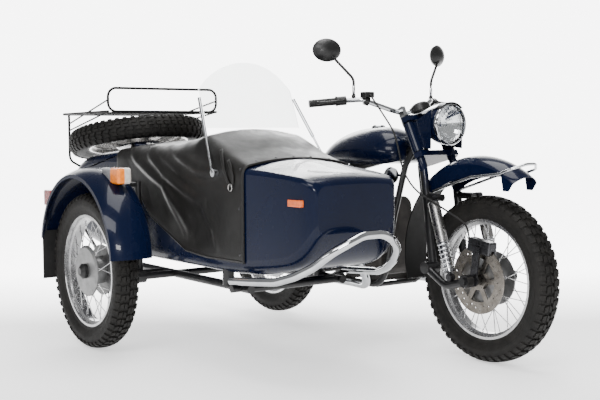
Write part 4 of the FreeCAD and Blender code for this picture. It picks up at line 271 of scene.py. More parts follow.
def corner_lamp(name, low, high):
    """A lamp of a grey housing behind, an amber lens on the outer side and a clear one on the inner side."""
    material, tree = started(name)
    cloud = tree.cloud(80.0)
    housing = tree.blend(cloud, (0.15, 0.15, 0.155), (0.21, 0.21, 0.215))
    amber = tree.blend(cloud, (0.72, 0.16, 0.006), (0.90, 0.24, 0.015))
    clear_part = tree.blend(cloud, (0.50, 0.47, 0.43), (0.64, 0.61, 0.57))
    lenses = tree.blend(tree.past("Y", low.y + (high.y - low.y) * AMBER_SHARE), amber, clear_part)
    housing_end = low.x + (high.x - low.x) * HOUSING_SHARE
    tree.put("Base Color", tree.blend(tree.past("X", housing_end), housing, lenses))
    tree.put("Roughness", tree.spread(tree.noise(200.0), 0.12, 0.25))
    tree.put("Coat Weight", 0.5)
    tree.put("Normal", tree.bump(tree.wave(110.0, Distortion=0.0), 0.0008, 0.6))
    return material


HUB_RADIUS = 115.0 * MM
HUB_EDGE = 0.5 * MM


def wheel_metal(name, centre):
    """Cast hub and plated spokes and rim of one wheel, told apart by their distance from the axle."""
    material, tree = started(name)
    from_axle = tree.add("ShaderNodeMapping", vector_type="POINT")
    from_axle.inputs["Location"].default_value = -centre
    tree.links.new(tree.place, from_axle.inputs["Vector"])
    flat = tree.add("ShaderNodeVectorMath", operation="MULTIPLY")
    flat.inputs[1].default_value = (1, 0, 1)
    tree.links.new(from_axle.outputs["Vector"], flat.inputs[0])
    reach = tree.add("ShaderNodeVectorMath", operation="LENGTH")
    tree.links.new(flat.outputs["Vector"], reach.inputs[0])
    beyond = tree.spread(reach.outputs["Value"], 0.0, 1.0, HUB_RADIUS - HUB_EDGE, HUB_RADIUS + HUB_EDGE)
    cloud = tree.cloud(25.0, 5.0)
    cast = tree.blend(cloud, (0.17, 0.17, 0.172), (0.28, 0.28, 0.28))
    plated = tree.blend(cloud, (0.40, 0.40, 0.41), (0.56, 0.56, 0.56))
    tree.put("Base Color", tree.blend(beyond, cast, plated))
    cast_rough = tree.spread(tree.noise(90.0), 0.38, 0.52)
    plated_rough = tree.spread(tree.noise(60.0), 0.16, 0.30)
    tree.put("Roughness", tree.blend(beyond, cast_rough, plated_rough, "FLOAT"))
    tree.put("Metallic", 0.9)
    tree.put("Normal", tree.bump(tree.noise(500.0, 2.0), 0.0002, 0.5))
    return material


def make_materials():
    return {
        "blue_paint": surface("navy_paint", (0.0012, 0.0034, 0.0145), (0.0020, 0.0050, 0.0205), (0.22, 0.30),
                              coat=0.24, mottle=3.0, grain=900.0, depth=0.00005, shine=0.06),
        "black_paint": surface("black_paint", (0.004, 0.004, 0.0045), (0.008, 0.008, 0.0085), (0.28, 0.44),
                               coat=0.2, mottle=12.0, grain=500.0, shine=0.3),
        "chrome": surface("chrome_plate", (0.42, 0.43, 0.45), (0.56, 0.57, 0.58), (0.03, 0.08), 1.0,
                          depth=0.00002),
        "dark_chrome": surface("dark_chrome", (0.14, 0.145, 0.15), (0.21, 0.215, 0.22), (0.05, 0.12), 1.0,
                               depth=0.00002),
        "cast_alloy": surface("cast_alloy", (0.20, 0.20, 0.205), (0.32, 0.32, 0.315), (0.36, 0.52), 0.9,
                              mottle=18.0, grain=420.0, depth=0.0003),
        "steel": surface("bright_steel", (0.30, 0.295, 0.285), (0.46, 0.45, 0.44), (0.22, 0.36), 1.0,
                         mottle=30.0, grain=600.0),
        "disc_steel": surface("disc_steel", (0.155, 0.140, 0.120), (0.27, 0.25, 0.225), (0.24, 0.40), 1.0,
                              mottle=40.0),
        "gunmetal": surface("gunmetal", (0.030, 0.030, 0.033), (0.060, 0.060, 0.064), (0.24, 0.38), 0.85,
                            coat=0.1, mottle=24.0, grain=520.0, depth=0.0002),
        "dark_casting": surface("dark_casting", (0.020, 0.018, 0.017), (0.042, 0.038, 0.035), (0.42, 0.58),
                                0.6, mottle=20.0, grain=380.0, depth=0.0004),
        "rack_paint": surface("rack_paint", (0.004, 0.004, 0.004), (0.007, 0.007, 0.007), (0.42, 0.58),
                              grain=600.0, shine=0.15),
        "rubber": surface("black_rubber", (0.005, 0.005, 0.005), (0.010, 0.0097, 0.0095), (0.50, 0.66),
                          mottle=15.0, grain=420.0, depth=0.0004, shine=0.3),
        "tyre": surface("tyre_rubber", (0.0045, 0.0042, 0.0038), (0.0110, 0.0100, 0.0088), (0.58, 0.74),
                        mottle=24.0, grain=480.0, depth=0.0004, shine=0.22),
        "black_plastic": surface("black_plastic", (0.0045, 0.0045, 0.0048), (0.009, 0.009, 0.009),
                                 (0.30, 0.44), mottle=18.0, grain=650.0, depth=0.0003, shine=0.35),
        "reflector": surface("reflector_silver", (0.80, 0.80, 0.82), (0.92, 0.92, 0.93), (0.04, 0.10), 1.0,
                             mottle=60.0, grain=800.0),
        "vinyl": grained("black_vinyl", (0.0032, 0.0030, 0.0028), (0.0068, 0.0063, 0.0058), (0.34, 0.48)),
        "seam_vinyl": grained("seam_vinyl", (0.006, 0.0058, 0.0056), (0.011, 0.0105, 0.010), (0.40, 0.55),
                              900.0),
        "clear_sheet": clear("clear_sheet", (0.74, 0.755, 0.75)),
        "lamp_glass": sealed_glass("lamp_glass"),
        "amber_lens": lens("amber_lens", (0.75, 0.12, 0.006)),
        "red_lens": lens("red_lens", (0.22, 0.004, 0.004)),
        "bulb": clear("bulb_glass", (0.85, 0.86, 0.88), 0.03),
    }


# Mesh helpers. Below NEARLY_NOTHING a length counts as zero
NEARLY_NOTHING = 1e-6


def piece(name, points, faces, body, material, smooth=True):
    """A new object of the scene that rides on one body."""
    mesh = bpy.data.meshes.new(name)
    mesh.from_pydata([tuple(p) for p in points], [], faces)
    mesh.validate()
    mesh.update()
    built = bmesh.new()
    built.from_mesh(mesh)
    bmesh.ops.recalc_face_normals(built, faces=built.faces)
    built.to_mesh(mesh)
    built.free()
    thing = bpy.data.objects.new(name, mesh)
    bpy.context.scene.collection.objects.link(thing)
    mesh.materials.append(material)
    for face in mesh.polygons:
        face.use_smooth = smooth
    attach(thing, body)
    return thing


def lathe(profile, centre, axis, start, steps, closed=True):
    """Points and faces of a profile of (radius, along) turned about an axis."""
    side = axis.cross(start)
    points, faces = [], []
    count = len(profile)
    for step in range(steps):
        angle = 2 * math.pi * step / steps
        out = start * math.cos(angle) + side * math.sin(angle)
        points += [centre + out * radius + axis * along for radius, along in profile]
    for step in range(steps):
        here, after = step * count, (step + 1) % steps * count
        for index in range(count if closed else count - 1):
            other = (index + 1) % count
            faces.append((here + index, here + other, after + other, after + index))
    return points, faces


def join(points, faces, more, joins):
    """One form's points and faces put behind another's."""
    start = len(points)
    points += more
    faces += [tuple(start + i for i in face) for face in joins]


def ribbon_tube(name, points, radius, body, material, sides=8, flat=1.0, out=None):
    """A round or flattened tube along places in metres."""
    rings, faces = [], []
    count = len(points)
    for index, point in enumerate(points):
        ahead = Vector(points[min(index + 1, count - 1)]) - Vector(points[max(index - 1, 0)])
        ahead.normalize()
        lean = Vector(out[index]) if out is not None else Z_WAY
        side = ahead.cross(lean)
        if side.length < NEARLY_NOTHING:
            side = ahead.cross(Y_WAY)
        side.normalize()
        top = side.cross(ahead)
        for step in range(sides):
            angle = 2 * math.pi * step / sides
            wide, tall = math.cos(angle) * radius, math.sin(angle) * radius * flat
            rings.append(Vector(point) + side * wide + top * tall)
    for index in range(count - 1):
        for step in range(sides):
            a, b = index * sides + step, index * sides + (step + 1) % sides
            faces.append((a, b, b + sides, a + sides))
    faces.append(tuple(reversed(range(sides))))
    faces.append(tuple(range((count - 1) * sides, count * sides)))
    return piece(name, rings, faces, body, material)


def tree_of_node(node):
    """A CAD node's surface, for finding places on it."""
    mesh = NODES[node].data
    mesh.calc_loop_triangles()
    points = [v.co.copy() for v in mesh.vertices]
    faces = [tuple(t.vertices) for t in mesh.loop_triangles]
    return BVHTree.FromPolygons(points, faces)


# Tyres with their tread, in millimetres: half the outer line as places across and away from the axle
CROWN = ((0.0, 335.5), (10.0, 335.2), (20.0, 333.8), (30.0, 331.2), (38.0, 328.2), (44.0, 324.6),
         (48.0, 319.0), (50.4, 311.0), (51.4, 301.0), (51.2, 292.0))
SIDE_WALL = ((49.0, 283.0), (45.5, 274.0), (41.0, 265.0), (38.4, 258.0), (37.2, 252.0), (36.8, 248.5),
             (36.2, 247.4), (32.6, 247.4), (32.6, 241.5))
TYRE_STEPS = 160
RIDGES = ((286.0, 289.0), (266.0, 268.0))
RIDGE_RISE = 0.5
RIDGE_STEPS = 120
TREAD_HEIGHT = 8.0
TREAD_SINK = 1.0
TREAD_CHAMFER = 1.0
TREAD_PITCHES = 54
BLOCK_WIDTH = 15.0
WIDE_BLOCK = 18.0
# Blocks: inner and outer place across the tread, start and end along one pitch at each, share of the height
TREAD_BLOCKS = (
    (1.5, 14.5, 0.02, 0.66, 0.18, 0.82, 1.0),
    (17.5, 32.5, 0.22, 0.80, 0.06, 0.64, 1.0),
    (35.5, 58.0, 0.30, 0.86, 0.34, 0.82, 0.8),
)
LINE_STEP = 2.0
SPARE_TILT = math.radians(11.6)


class Tread:
    """The outer line of the tyre from the middle of the crown down the side wall, by length."""

    def __init__(self):
        across, reach = np.array(CROWN).T
        steps = np.hypot(np.diff(across), np.diff(reach))
        self.length = np.concatenate(([0.0], np.cumsum(steps)))
        self.across, self.reach = across, reach

    def on_line(self, place):
        return np.interp(place, self.length, self.across), np.interp(place, self.length, self.reach)

    def point(self, along, turn, height):
        """The place so far along the line, so far round the tyre and so high above the rubber."""
        side = 1 if along >= 0 else -1
        place = abs(along)
        y, r = self.on_line(place)
        y_after, r_after = self.on_line(place + LINE_STEP)
        y_before, r_before = self.on_line(max(place - LINE_STEP, 0))
        dy, dr = y_after - y_before, r_after - r_before
        size = math.hypot(dy, dr)
        y, r = y - dr / size * height, r + dy / size * height
        return Vector((math.cos(turn) * r, side * y, math.sin(turn) * r))


def tread_block(tread, points, faces, side, block, first):
    """One block: its foot sunk in the rubber, its walls and its top with bevelled edges."""
    low, high, low_start, low_end, high_start, high_end, rise = block
    columns = 3 if high - low > WIDE_BLOCK else 2
    pitch = 2 * math.pi / TREAD_PITCHES
    shares = [index / (columns - 1) for index in range(columns)]
    rim = [(low + (high - low) * t, low_start + (high_start - low_start) * t) for t in shares]
    rim += [(low + (high - low) * t, low_end + (high_end - low_end) * t) for t in reversed(shares)]
    middle = ((low + high) / 2, (low_start + low_end + high_start + high_end) / 4)
    base = len(points)
    tall = TREAD_HEIGHT * rise
    pinch = TREAD_CHAMFER / BLOCK_WIDTH
    for height, inset in ((-TREAD_SINK, 0.0), (tall - TREAD_CHAMFER, 0.0), (tall, pinch)):
        for across, turn in rim:
            across += (middle[0] - across) * inset
            turn += (middle[1] - turn) * inset
            points.append(tread.point(across * side, (first + turn) * pitch, height))
    count = len(rim)
    for ring in range(2):
        for index in range(count):
            after = (index + 1) % count
            start = base + ring * count
            faces.append((start + index, start + after, start + count + after, start + count + index))
    top = base + 2 * count
    for index in range(columns - 1):
        faces.append((top + index, top + index + 1, top + count - 2 - index, top + count - 1 - index))


def wall_at(reach):
    """Half the tyre's width so far from the axle, on the upper side wall."""
    upper = sorted((r, y) for y, r in CROWN[-1:] + SIDE_WALL[:3])
    return np.interp(reach, *zip(*upper))


def tyre_form():
    """A tyre about the origin, its axle along Y, in millimetres."""
    line = CROWN + SIDE_WALL
    profile = [(r, y) for y, r in reversed(line)] + [(r, -y) for y, r in line[1:]]
    points, faces = lathe(profile, ORIGIN, Y_WAY, X_WAY, TYRE_STEPS)
    for low, high in RIDGES:
        for flank in (1, -1):
            y_low, y_high = wall_at(low), wall_at(high)
            ridge = [(low, flank * (y_low - RIDGE_RISE)), (low, flank * (y_low + RIDGE_RISE)),
                     (high, flank * (y_high + RIDGE_RISE)), (high, flank * (y_high - RIDGE_RISE))]
            join(points, faces, *lathe(ridge, ORIGIN, Y_WAY, X_WAY, RIDGE_STEPS))
    tread = Tread()
    for pitch in range(TREAD_PITCHES):
        for flank, lead in ((1, 0.0), (-1, 0.5)):
            for block in TREAD_BLOCKS:
                tread_block(tread, points, faces, flank, block, pitch + lead)
    return points, faces


def make_tyres(materials):
    points, faces = tyre_form()
    low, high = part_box("spare_tyre")
    spare = (low + high) / 2
    upright = Matrix.Identity(3)
    lying = Matrix.Rotation(-SPARE_TILT, 3, "Y") @ Matrix.Rotation(math.radians(90), 3, "X")
    for node, body, centre, turn in (
            ("front_tyre", "front_road_wheel", FRONT_AXLE, upright),
            ("rear_tyre", "rear_road_wheel", REAR_AXLE, upright),
            ("sidecar_tyre", "sidecar_road_wheel", SIDE_AXLE, upright),
            ("spare_tyre", "trunk_cover", spare, lying)):
        placed = [turn @ (Vector(p) * MM) + centre for p in points]
        tyre = piece(node + "_tread", placed, faces, body, materials["tyre"], smooth=False)
        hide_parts(node)


# Cover over the passenger's cockpit: its outline is followed on the CAD cover from a line inside it
COVER_MIDDLE = 600.0 * MM
COVER_REACH = 900.0 * MM
COVER_SEARCH = math.radians(150)
SEARCH_HALVINGS = 22
OUTLINE_STEPS = 240
COVER_ROWS = 150
COVER_COLUMNS = 150
COVER_END_GAP = 0.8 * MM
COVER_SMOOTHINGS = 6
CLOTH_THICKNESS = 3.0 * MM


def cover_outline(hull, x, count):
    """Points round the cover's outer face at one place along it, from the near hem to the far one."""
    centre = Vector((x, BODY_Y, COVER_MIDDLE))

    def hit(angle):
        out = Vector((0, -math.sin(angle), math.cos(angle)))
        return hull.ray_cast(centre + out * COVER_REACH, -out, COVER_REACH)[0]

    def last(side):
        """The angle at which the cover ends on one side."""
        inside, outside = 0.0, COVER_SEARCH
        for step in range(SEARCH_HALVINGS):
            middle = (inside + outside) / 2
            if hit(side * middle) is None:
                outside = middle
            else:
                inside = middle
        return side * inside

    start, end = last(1), last(-1)
    dense = [hit(start + (end - start) * i / OUTLINE_STEPS) for i in range(OUTLINE_STEPS + 1)]
    dense = [p for p in dense if p is not None]
    lengths = np.concatenate(([0.0], np.cumsum([(b - a).length for a, b in zip(dense, dense[1:])])))
    coords = np.array([tuple(p) for p in dense])
    wanted = np.linspace(0, lengths[-1], count)
    return np.stack([np.interp(wanted, lengths, coords[:, i]) for i in range(3)], axis=1)


# Folds of the near flank, as places along and up in millimetres, with width and rise. The same folds come
# out on the far flank, which the photograph doesn't show
FOLDS = (
    (((479, 924), (609, 881), (744, 828), (839, 794), (997, 782)), 17.0, 7.0),
    (((370, 924), (450, 847), (567, 774), (741, 706), (905, 661)), 20.0, 9.0),
    (((240, 890), (324, 819), (447, 770), (565, 724), (689, 618), (785, 539)), 22.0, 9.0),
    (((430, 905), (560, 842), (700, 778), (860, 738)), 12.0, 4.0),
    (((560, 700), (660, 600), (740, 520)), 14.0, 5.0),
    (((880, 640), (950, 560), (985, 480)), 16.0, 5.0),
)
FOLD_START_SHARE = 0.12
FOLD_FADE = 0.6
VALLEY_SHIFT_SHARE = 1.7
VALLEY_SHARES = {1: 0.45, -1: 0.15}
# Slow waves of the cloth: rise, wavelengths over a turn along and up, and start, in millimetres and radians
WAVES = ((1.6, 61.0, 43.0, 0.0), (1.1, 37.0, -71.0, 1.0))
HELD_ROWS = 6.0
HELD_COLUMNS = 5.0
FLANK_REACH = 230.0
TOP_WAVE_SHARE = 0.4
DEEPEST = -1.5


def fold_rise(x, z):
    """How far the cloth stands out at a place on the flank, in millimetres."""
    rise = 0.0
    for line, width, height in FOLDS:
        best, where, side = math.inf, 0.0, 1
        spans = len(line) - 1
        for index in range(spans):
            (ax, az), (bx, bz) = line[index], line[index + 1]
            dx, dz = bx - ax, bz - az
            share = min(1.0, max(0.0, ((x - ax) * dx + (z - az) * dz) / (dx * dx + dz * dz)))
            off_x, off_z = x - ax - dx * share, z - az - dz * share
            reach = math.hypot(off_x, off_z)
            if reach < best:
                best, where = reach, (index + share) / spans
                side = 1 if off_x * dz - off_z * dx > 0 else -1
        fade = math.sin(math.pi * min(1.0, FOLD_START_SHARE + (1 - FOLD_START_SHARE) * where)) ** FOLD_FADE
        crest = math.exp(-(best / width) ** 2)
        valley = math.exp(-((best - width * VALLEY_SHIFT_SHARE) / width) ** 2) * VALLEY_SHARES[side]
        rise += height * fade * (crest - valley)
    return rise


def slow_waves(x, z):
    """The cloth's loose drape, in millimetres."""
    return sum(rise * math.sin(x / along + z / up + start) for rise, along, up, start in WAVES)


def cloth_normals(grid):
    """The outward normal at each point of the cloth."""
    normals = np.cross(np.gradient(grid, axis=0), np.gradient(grid, axis=1))
    normals /= np.linalg.norm(normals, axis=2, keepdims=True) + 1e-12
    centre = np.array((grid[..., 0].mean(), BODY_Y, COVER_MIDDLE))
    return normals * np.sign(np.sum(normals * (grid - centre), axis=2, keepdims=True))


def drape(grid):
    """Folds and slow waves pushed out along the cloth's own normals, less where it is held."""
    rows, columns = grid.shape[:2]
    normals = cloth_normals(grid)
    body = (BODY_Y - START.y) / MM
    pushed = grid.copy()
    for r in range(rows):
        for c in range(columns):
            held = min(1.0, min(r, rows - 1 - r) / HELD_ROWS, min(c, columns - 1 - c) / HELD_COLUMNS)
            x, y, z = grid[r, c] / MM - np.array(START) / MM
            flank = min(1.0, abs(y - body) / FLANK_REACH) ** 3
            waves = slow_waves(x, z) * (TOP_WAVE_SHARE + (1 - TOP_WAVE_SHARE) * flank)
            rise = fold_rise(x, z) * flank + waves
            pushed[r, c] += normals[r, c] * max(rise, DEEPEST) * held * MM
    return pushed


def make_cover(materials):
    hull = tree_of_node("tonneau_cover")
    low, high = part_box("tonneau_cover")
    rows, columns = COVER_ROWS, COVER_COLUMNS
    xs = np.linspace(low.x + COVER_END_GAP, high.x - COVER_END_GAP, rows)
    grid = np.array([cover_outline(hull, x, columns) for x in xs])
    for step in range(COVER_SMOOTHINGS):
        inner = grid[1:-1, 1:-1]
        around = grid[:-2, 1:-1] + grid[2:, 1:-1] + grid[1:-1, :-2] + grid[1:-1, 2:]
        grid[1:-1, 1:-1] = inner / 2 + around / 8
    grid = drape(grid)
    faces = []
    for r in range(rows - 1):
        for c in range(columns - 1):
            first = r * columns + c
            faces.append((first, first + 1, first + columns + 1, first + columns))
    cover = piece("passenger_cover", grid.reshape(-1, 3), faces, "chassis", materials["vinyl"])
    shell = cover.modifiers.new("thickness", "SOLIDIFY")
    shell.thickness = CLOTH_THICKNESS
    shell.offset = -1
    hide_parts("tonneau_cover")
    make_cover_trim(materials, grid)


# Trim of the cover
PIPING_RADIUS = 4.5 * MM
HEM_RADIUS = 3.2 * MM
STUD_RADIUS = 5.0 * MM
STUD_HEIGHT = 2.6 * MM
STUD_STEPS = 14
STUD_ROW = 5
STUD_PLACE_SHARES = (0.03, 0.17, 0.29, 0.36, 0.43, 0.5, 0.57, 0.64, 0.71, 0.83, 0.97)
# Half outline of a stud, as shares of its radius and height
STUD_OUTLINE_SHARES = ((1.1, -0.6), (1.1, 0.25), (0.9, 0.45), (0.62, 0.85), (0.2, 1.0))


def stud(points, faces, centre, out):
    """A round-headed stud standing on the cloth, its foot a little under it."""
    profile = [(STUD_RADIUS * wide, STUD_HEIGHT * tall) for wide, tall in STUD_OUTLINE_SHARES]
    start, count = len(points), len(profile)
    join(points, faces, *lathe(profile, centre, out, out.orthogonal().normalized(), STUD_STEPS, closed=False))
    faces.append(tuple(start + count - 1 + i * count for i in range(STUD_STEPS)))


def make_cover_trim(materials, grid):
    """Piping on the front edge, rolled hems on both flanks and studs behind the front edge."""
    rows, columns = grid.shape[:2]
    normals = cloth_normals(grid)
    for name, line, out, radius in (
            ("cover_front_piping", grid[-2], normals[-2], PIPING_RADIUS),
            ("cover_hem_near", grid[1:-1, 1], normals[1:-1, 1], HEM_RADIUS),
            ("cover_hem_far", grid[1:-1, columns - 2], normals[1:-1, columns - 2], HEM_RADIUS)):
        places = [Vector(p) for p in line]
        ribbon_tube(name, places, radius, "chassis", materials["seam_vinyl"], out=out)
    points, faces = [], []
    row = rows - STUD_ROW
    for share in STUD_PLACE_SHARES:
        column = int(share * (columns - 1))
        stud(points, faces, Vector(grid[row, column]), Vector(normals[row, column]))
    piece("cover_studs", points, faces, "chassis", materials["gunmetal"])


# Strap that hangs in a loop on the cover: its places as seen on an upright plane beside the sidecar
SIGHT_PLANE = -985.0
SIGHT_REACH = 8.0
STRAP_LINE = ((1052, 882), (1058, 850), (1072, 805), (1096, 762), (1118, 742), (1134, 752), (1136, 780),
              (1120, 818), (1096, 850))
STRAP_STEPS = 4
STRAP_LIFT = 4.0
STRAP_HALF_WIDTH = 7.0 * MM
STRAP_FLAT_SHARE = 0.22
STRAP_SIDES = 10
RING_PLACE = (1120, 738)
RING_LIFT = 6.0
RING_RADIUS = 13.5 * MM
RING_WIRE = 2.4 * MM
RING_WIRE_STEPS = 10
RING_STEPS = 28


def surface_point(hull, x, z, lift):
    """The place on the cover seen behind a point of the plane, lifted by so many millimetres."""
    start = Vector(VIEW_PLACE)
    way = (at(x, SIGHT_PLANE, z) - start).normalized()
    found, normal, index, distance = hull.ray_cast(start, way, SIGHT_REACH)
    if normal.dot(way) > 0:
        normal = -normal
    return found + normal * lift * MM, normal


def make_strap(materials):
    """The tightening strap and its ring."""
    hull = tree_of_node("tonneau_cover")
    spots, ways = [], []
    for (ax, az), (bx, bz) in zip(STRAP_LINE, STRAP_LINE[1:]):
        for step in range(STRAP_STEPS):
            share = step / STRAP_STEPS
            spot, way = surface_point(hull, ax + (bx - ax) * share, az + (bz - az) * share, STRAP_LIFT)
            spots.append(spot)
            ways.append(way)
    ribbon_tube("cover_strap", spots, STRAP_HALF_WIDTH, "chassis", materials["seam_vinyl"],
                sides=STRAP_SIDES, flat=STRAP_FLAT_SHARE, out=ways)
    foot, way = surface_point(hull, *RING_PLACE, RING_LIFT)
    angles = [2 * math.pi * i / RING_WIRE_STEPS for i in range(RING_WIRE_STEPS)]
    ring = [(RING_RADIUS + RING_WIRE * math.cos(a), RING_WIRE * math.sin(a)) for a in angles]
    points, faces = lathe(ring, foot, way, X_WAY, RING_STEPS)
    piece("cover_ring", points, faces, "chassis", materials["steel"])


# Mirror stems, in millimetres: foot, bend and head as in the CAD, their heights from the bar's knee
BAR_KNEE = 1090.0
MIRROR_FOOT = (943, 232, 22)
MIRROR_BEND = (943, 232, 90)
MIRROR_HEAD = (898, 322, 194)
MIRROR_BEND_RADIUS = 44.0
SLEEVE_START_SHARE = 0.50
SLEEVE_END_SHARE = 0.82
TUBE_OVERLAP_SHARE = 1.1
SLEEVE_RADIUS = 6.2 * MM
TUBE_RADIUS = 6.8 * MM
SLEEVE_SIDES = 12
TUBE_SIDES = 16


def arc_path(start, corner, end, radius, steps=8):
    """Two straight runs joined by a tangent arc."""
    into, out = (corner - start).normalized(), (end - corner).normalized()
    turn = into.angle(out)
    cut = radius * math.tan(turn / 2)
    centre = corner + (out - into).normalized() * (radius / math.cos(turn / 2))
    arms = corner - into * cut - centre, corner + out * cut - centre
    path = [centre + arms[0].slerp(arms[1], i / steps).normalized() * radius for i in range(steps + 1)]
    return [start] + path + [end]


def make_mirror_stems(materials):
    """Sleeves over the upper run of each mirror stem and plated tubes round the lower run."""
    for side, label in ((1, "left"), (-1, "right")):
        stem = (MIRROR_FOOT, MIRROR_BEND, MIRROR_HEAD)
        foot, bend, head = (at(x, side * y, BAR_KNEE + z) for x, y, z in stem)
        start = foot + (bend - foot) * SLEEVE_START_SHARE
        path = arc_path(start, bend, bend + (head - bend) * SLEEVE_END_SHARE, MIRROR_BEND_RADIUS * MM)
        ribbon_tube("mirror_sleeve_" + label, path, SLEEVE_RADIUS, "front_fork", materials["black_plastic"],
                    sides=SLEEVE_SIDES)
        tube = [foot, foot + (start - foot) * TUBE_OVERLAP_SHARE]
        ribbon_tube("mirror_tube_" + label, tube, TUBE_RADIUS, "front_fork", materials["chrome"],
                    sides=TUBE_SIDES)


# Headlight: the bowl behind the CAD lens, and the bulb's half outline from its tip
BOWL_GAP = 1.5 * MM
BOWL_WALL = 1.5 * MM
BOWL_DEPTH = 52.0 * MM
BOWL_EDGE = 3.0 * MM
BOWL_HOLE_SHARE = 0.12
BOWL_POINTS = 8
BOWL_FACETS = 26
BULB_OUTLINE = ((0.2, 36.0), (5.0, 35.0), (9.0, 30.0), (10.0, 22.0), (8.5, 12.0), (7.0, 0.0), (7.0, -6.0),
                (0.2, -6.0))
BULB_SEAT_SHARE = 0.98
BULB_STEPS = 24


def make_headlight(materials):
    """Reflector bowl with facets and the bulb in it."""
    low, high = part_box("headlight_lens")
    middle = Vector((low.x - BOWL_GAP, (low.y + high.y) / 2, (low.z + high.z) / 2))
    rim = (high.z - low.z) / 2 - BOWL_EDGE
    shares = [BOWL_HOLE_SHARE + (1 - BOWL_HOLE_SHARE) * i / (BOWL_POINTS - 1) for i in range(BOWL_POINTS)]
    inner = [(rim * share, -BOWL_DEPTH * (1 - share ** 2)) for share in shares]
    outer = [(radius, along - BOWL_WALL) for radius, along in reversed(inner)]
    points, faces = lathe(inner + outer, middle, X_WAY, Z_WAY, BOWL_FACETS)
    piece("headlight_reflector", points, faces, "front_fork", materials["reflector"], smooth=False)
    bulb = [(radius * MM, along * MM - BOWL_DEPTH * BULB_SEAT_SHARE) for radius, along in BULB_OUTLINE]
    points, faces = lathe(bulb, middle, X_WAY, Z_WAY, BULB_STEPS, closed=False)
    piece("headlight_bulb", points, faces, "front_fork", materials["bulb"])


# Seat: padding blown up as cloth, then sewn
SEAT_VOXEL = 6.0 * MM
SEAT_INSET = 4.0 * MM
SEAT_PUFF = 9.0 * MM
SEAT_PRESSURE = 4.0
SEAT_FRAMES = 20
SEAT_QUALITY = 5
SEAT_FLAT_FOOT = 4.0 * MM
SEAT_FREE_HEIGHT = 30.0 * MM
SEAT_CHANNELS = 8
CHANNEL_DEPTH = 4.5 * MM
CHANNEL_WIDTH = 7.0 * MM
CHANNEL_END_SHARE = 0.72
TOP_FACING = 0.35
PIPING_LEVEL_SHARES = {"upper": 0.74, "lower": 0.16}
PIPING_STEPS = 96
PIPING_REACH = 1.0
SEAT_PIPING_RADIUS = 3.2 * MM


def baked(thing):
    """The mesh as its modifiers leave it, with the modifiers gone."""
    view = bpy.context.evaluated_depsgraph_get()
    made = bpy.data.meshes.new_from_object(thing.evaluated_get(view))
    thing.modifiers.clear()
    thing.data = made
    return made


def puff(pad, floor_z):
    """Air pressure inside the cloth, each point held near its start and the underside kept flat."""
    start = [v.co.copy() for v in pad.data.vertices]
    cloth = pad.modifiers.new("cloth", "CLOTH")
    cloth.settings.use_pressure = True
    cloth.settings.uniform_pressure_force = SEAT_PRESSURE
    cloth.settings.effector_weights.gravity = 0.0
    cloth.settings.quality = SEAT_QUALITY
    stage = bpy.context.scene
    for frame_number in range(1, SEAT_FRAMES + 1):
        stage.frame_set(frame_number)
    made = baked(pad)
    stage.frame_set(1)
    for vertex, place in zip(made.vertices, start):
        move = vertex.co - place
        if move.length > SEAT_PUFF:
            move *= SEAT_PUFF / move.length
        free = min(1.0, max(0.0, (place.z - floor_z - SEAT_FLAT_FOOT) / SEAT_FREE_HEIGHT))
        vertex.co = place + move * free


def sew_channels(mesh, low, high):
    """Channels pressed across the seat's top."""
    middle, length, half = (low.y + high.y) / 2, high.x - low.x, (high.y - low.y) / 2
    pitch = length / (SEAT_CHANNELS + 1)
    for vertex in mesh.vertices:
        if vertex.normal.z < TOP_FACING:
            continue
        share = (vertex.co.x - low.x) / pitch
        near = abs(share - round(share)) * pitch
        inside = max(0.0, 1 - (abs(vertex.co.y - middle) / (half * CHANNEL_END_SHARE)) ** 6)
        if 0 < round(share) <= SEAT_CHANNELS:
            vertex.co.z -= CHANNEL_DEPTH * math.exp(-(near / CHANNEL_WIDTH) ** 2) * inside


def make_seat_piping(mesh, low, high, materials):
    """Piping round the seat at two levels, laid on the finished padding."""
    points = [v.co.copy() for v in mesh.vertices]
    hull = BVHTree.FromPolygons(points, [tuple(f.vertices) for f in mesh.polygons])
    middle, size = (low + high) / 2, high - low
    for label, level in PIPING_LEVEL_SHARES.items():
        centre = Vector((middle.x, middle.y, low.z + size.z * level))
        places, ways = [], []
        for step in range(PIPING_STEPS + 1):
            angle = 2 * math.pi * step / PIPING_STEPS
            out = Vector((math.cos(angle) * size.x / 2, math.sin(angle) * size.y / 2, 0)).normalized()
            found, normal, index, distance = hull.ray_cast(centre + out * PIPING_REACH, -out, PIPING_REACH)
            if found is not None:
                places.append(found)
                ways.append(normal)
        ribbon_tube("seat_piping_" + label, places, SEAT_PIPING_RADIUS, "chassis", materials["seam_vinyl"],
                    out=ways)


def make_seat(materials):
    low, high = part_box("rider_seat")
    pad = bpy.data.objects.new("seat_cushion", NODES["rider_seat"].data.copy())
    bpy.context.scene.collection.objects.link(pad)
    pad.matrix_world = NODES["rider_seat"].matrix_world
    remesh = pad.modifiers.new("remesh", "REMESH")
    remesh.mode = "VOXEL"
    remesh.voxel_size = SEAT_VOXEL
    mesh = baked(pad)
    moved = [v.co - v.normal * SEAT_INSET for v in mesh.vertices]
    for vertex, place in zip(mesh.vertices, moved):
        vertex.co = place
    puff(pad, low.z)
    smoother = pad.modifiers.new("smooth", "SUBSURF")
    smoother.levels = 1
    mesh = baked(pad)
    sew_channels(mesh, low, high)
    mesh.materials.clear()
    mesh.materials.append(materials["vinyl"])
    for face in mesh.polygons:
        face.use_smooth = True
    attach(pad, "chassis")
    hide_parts("rider_seat")
    make_seat_piping(mesh, low, high, materials)


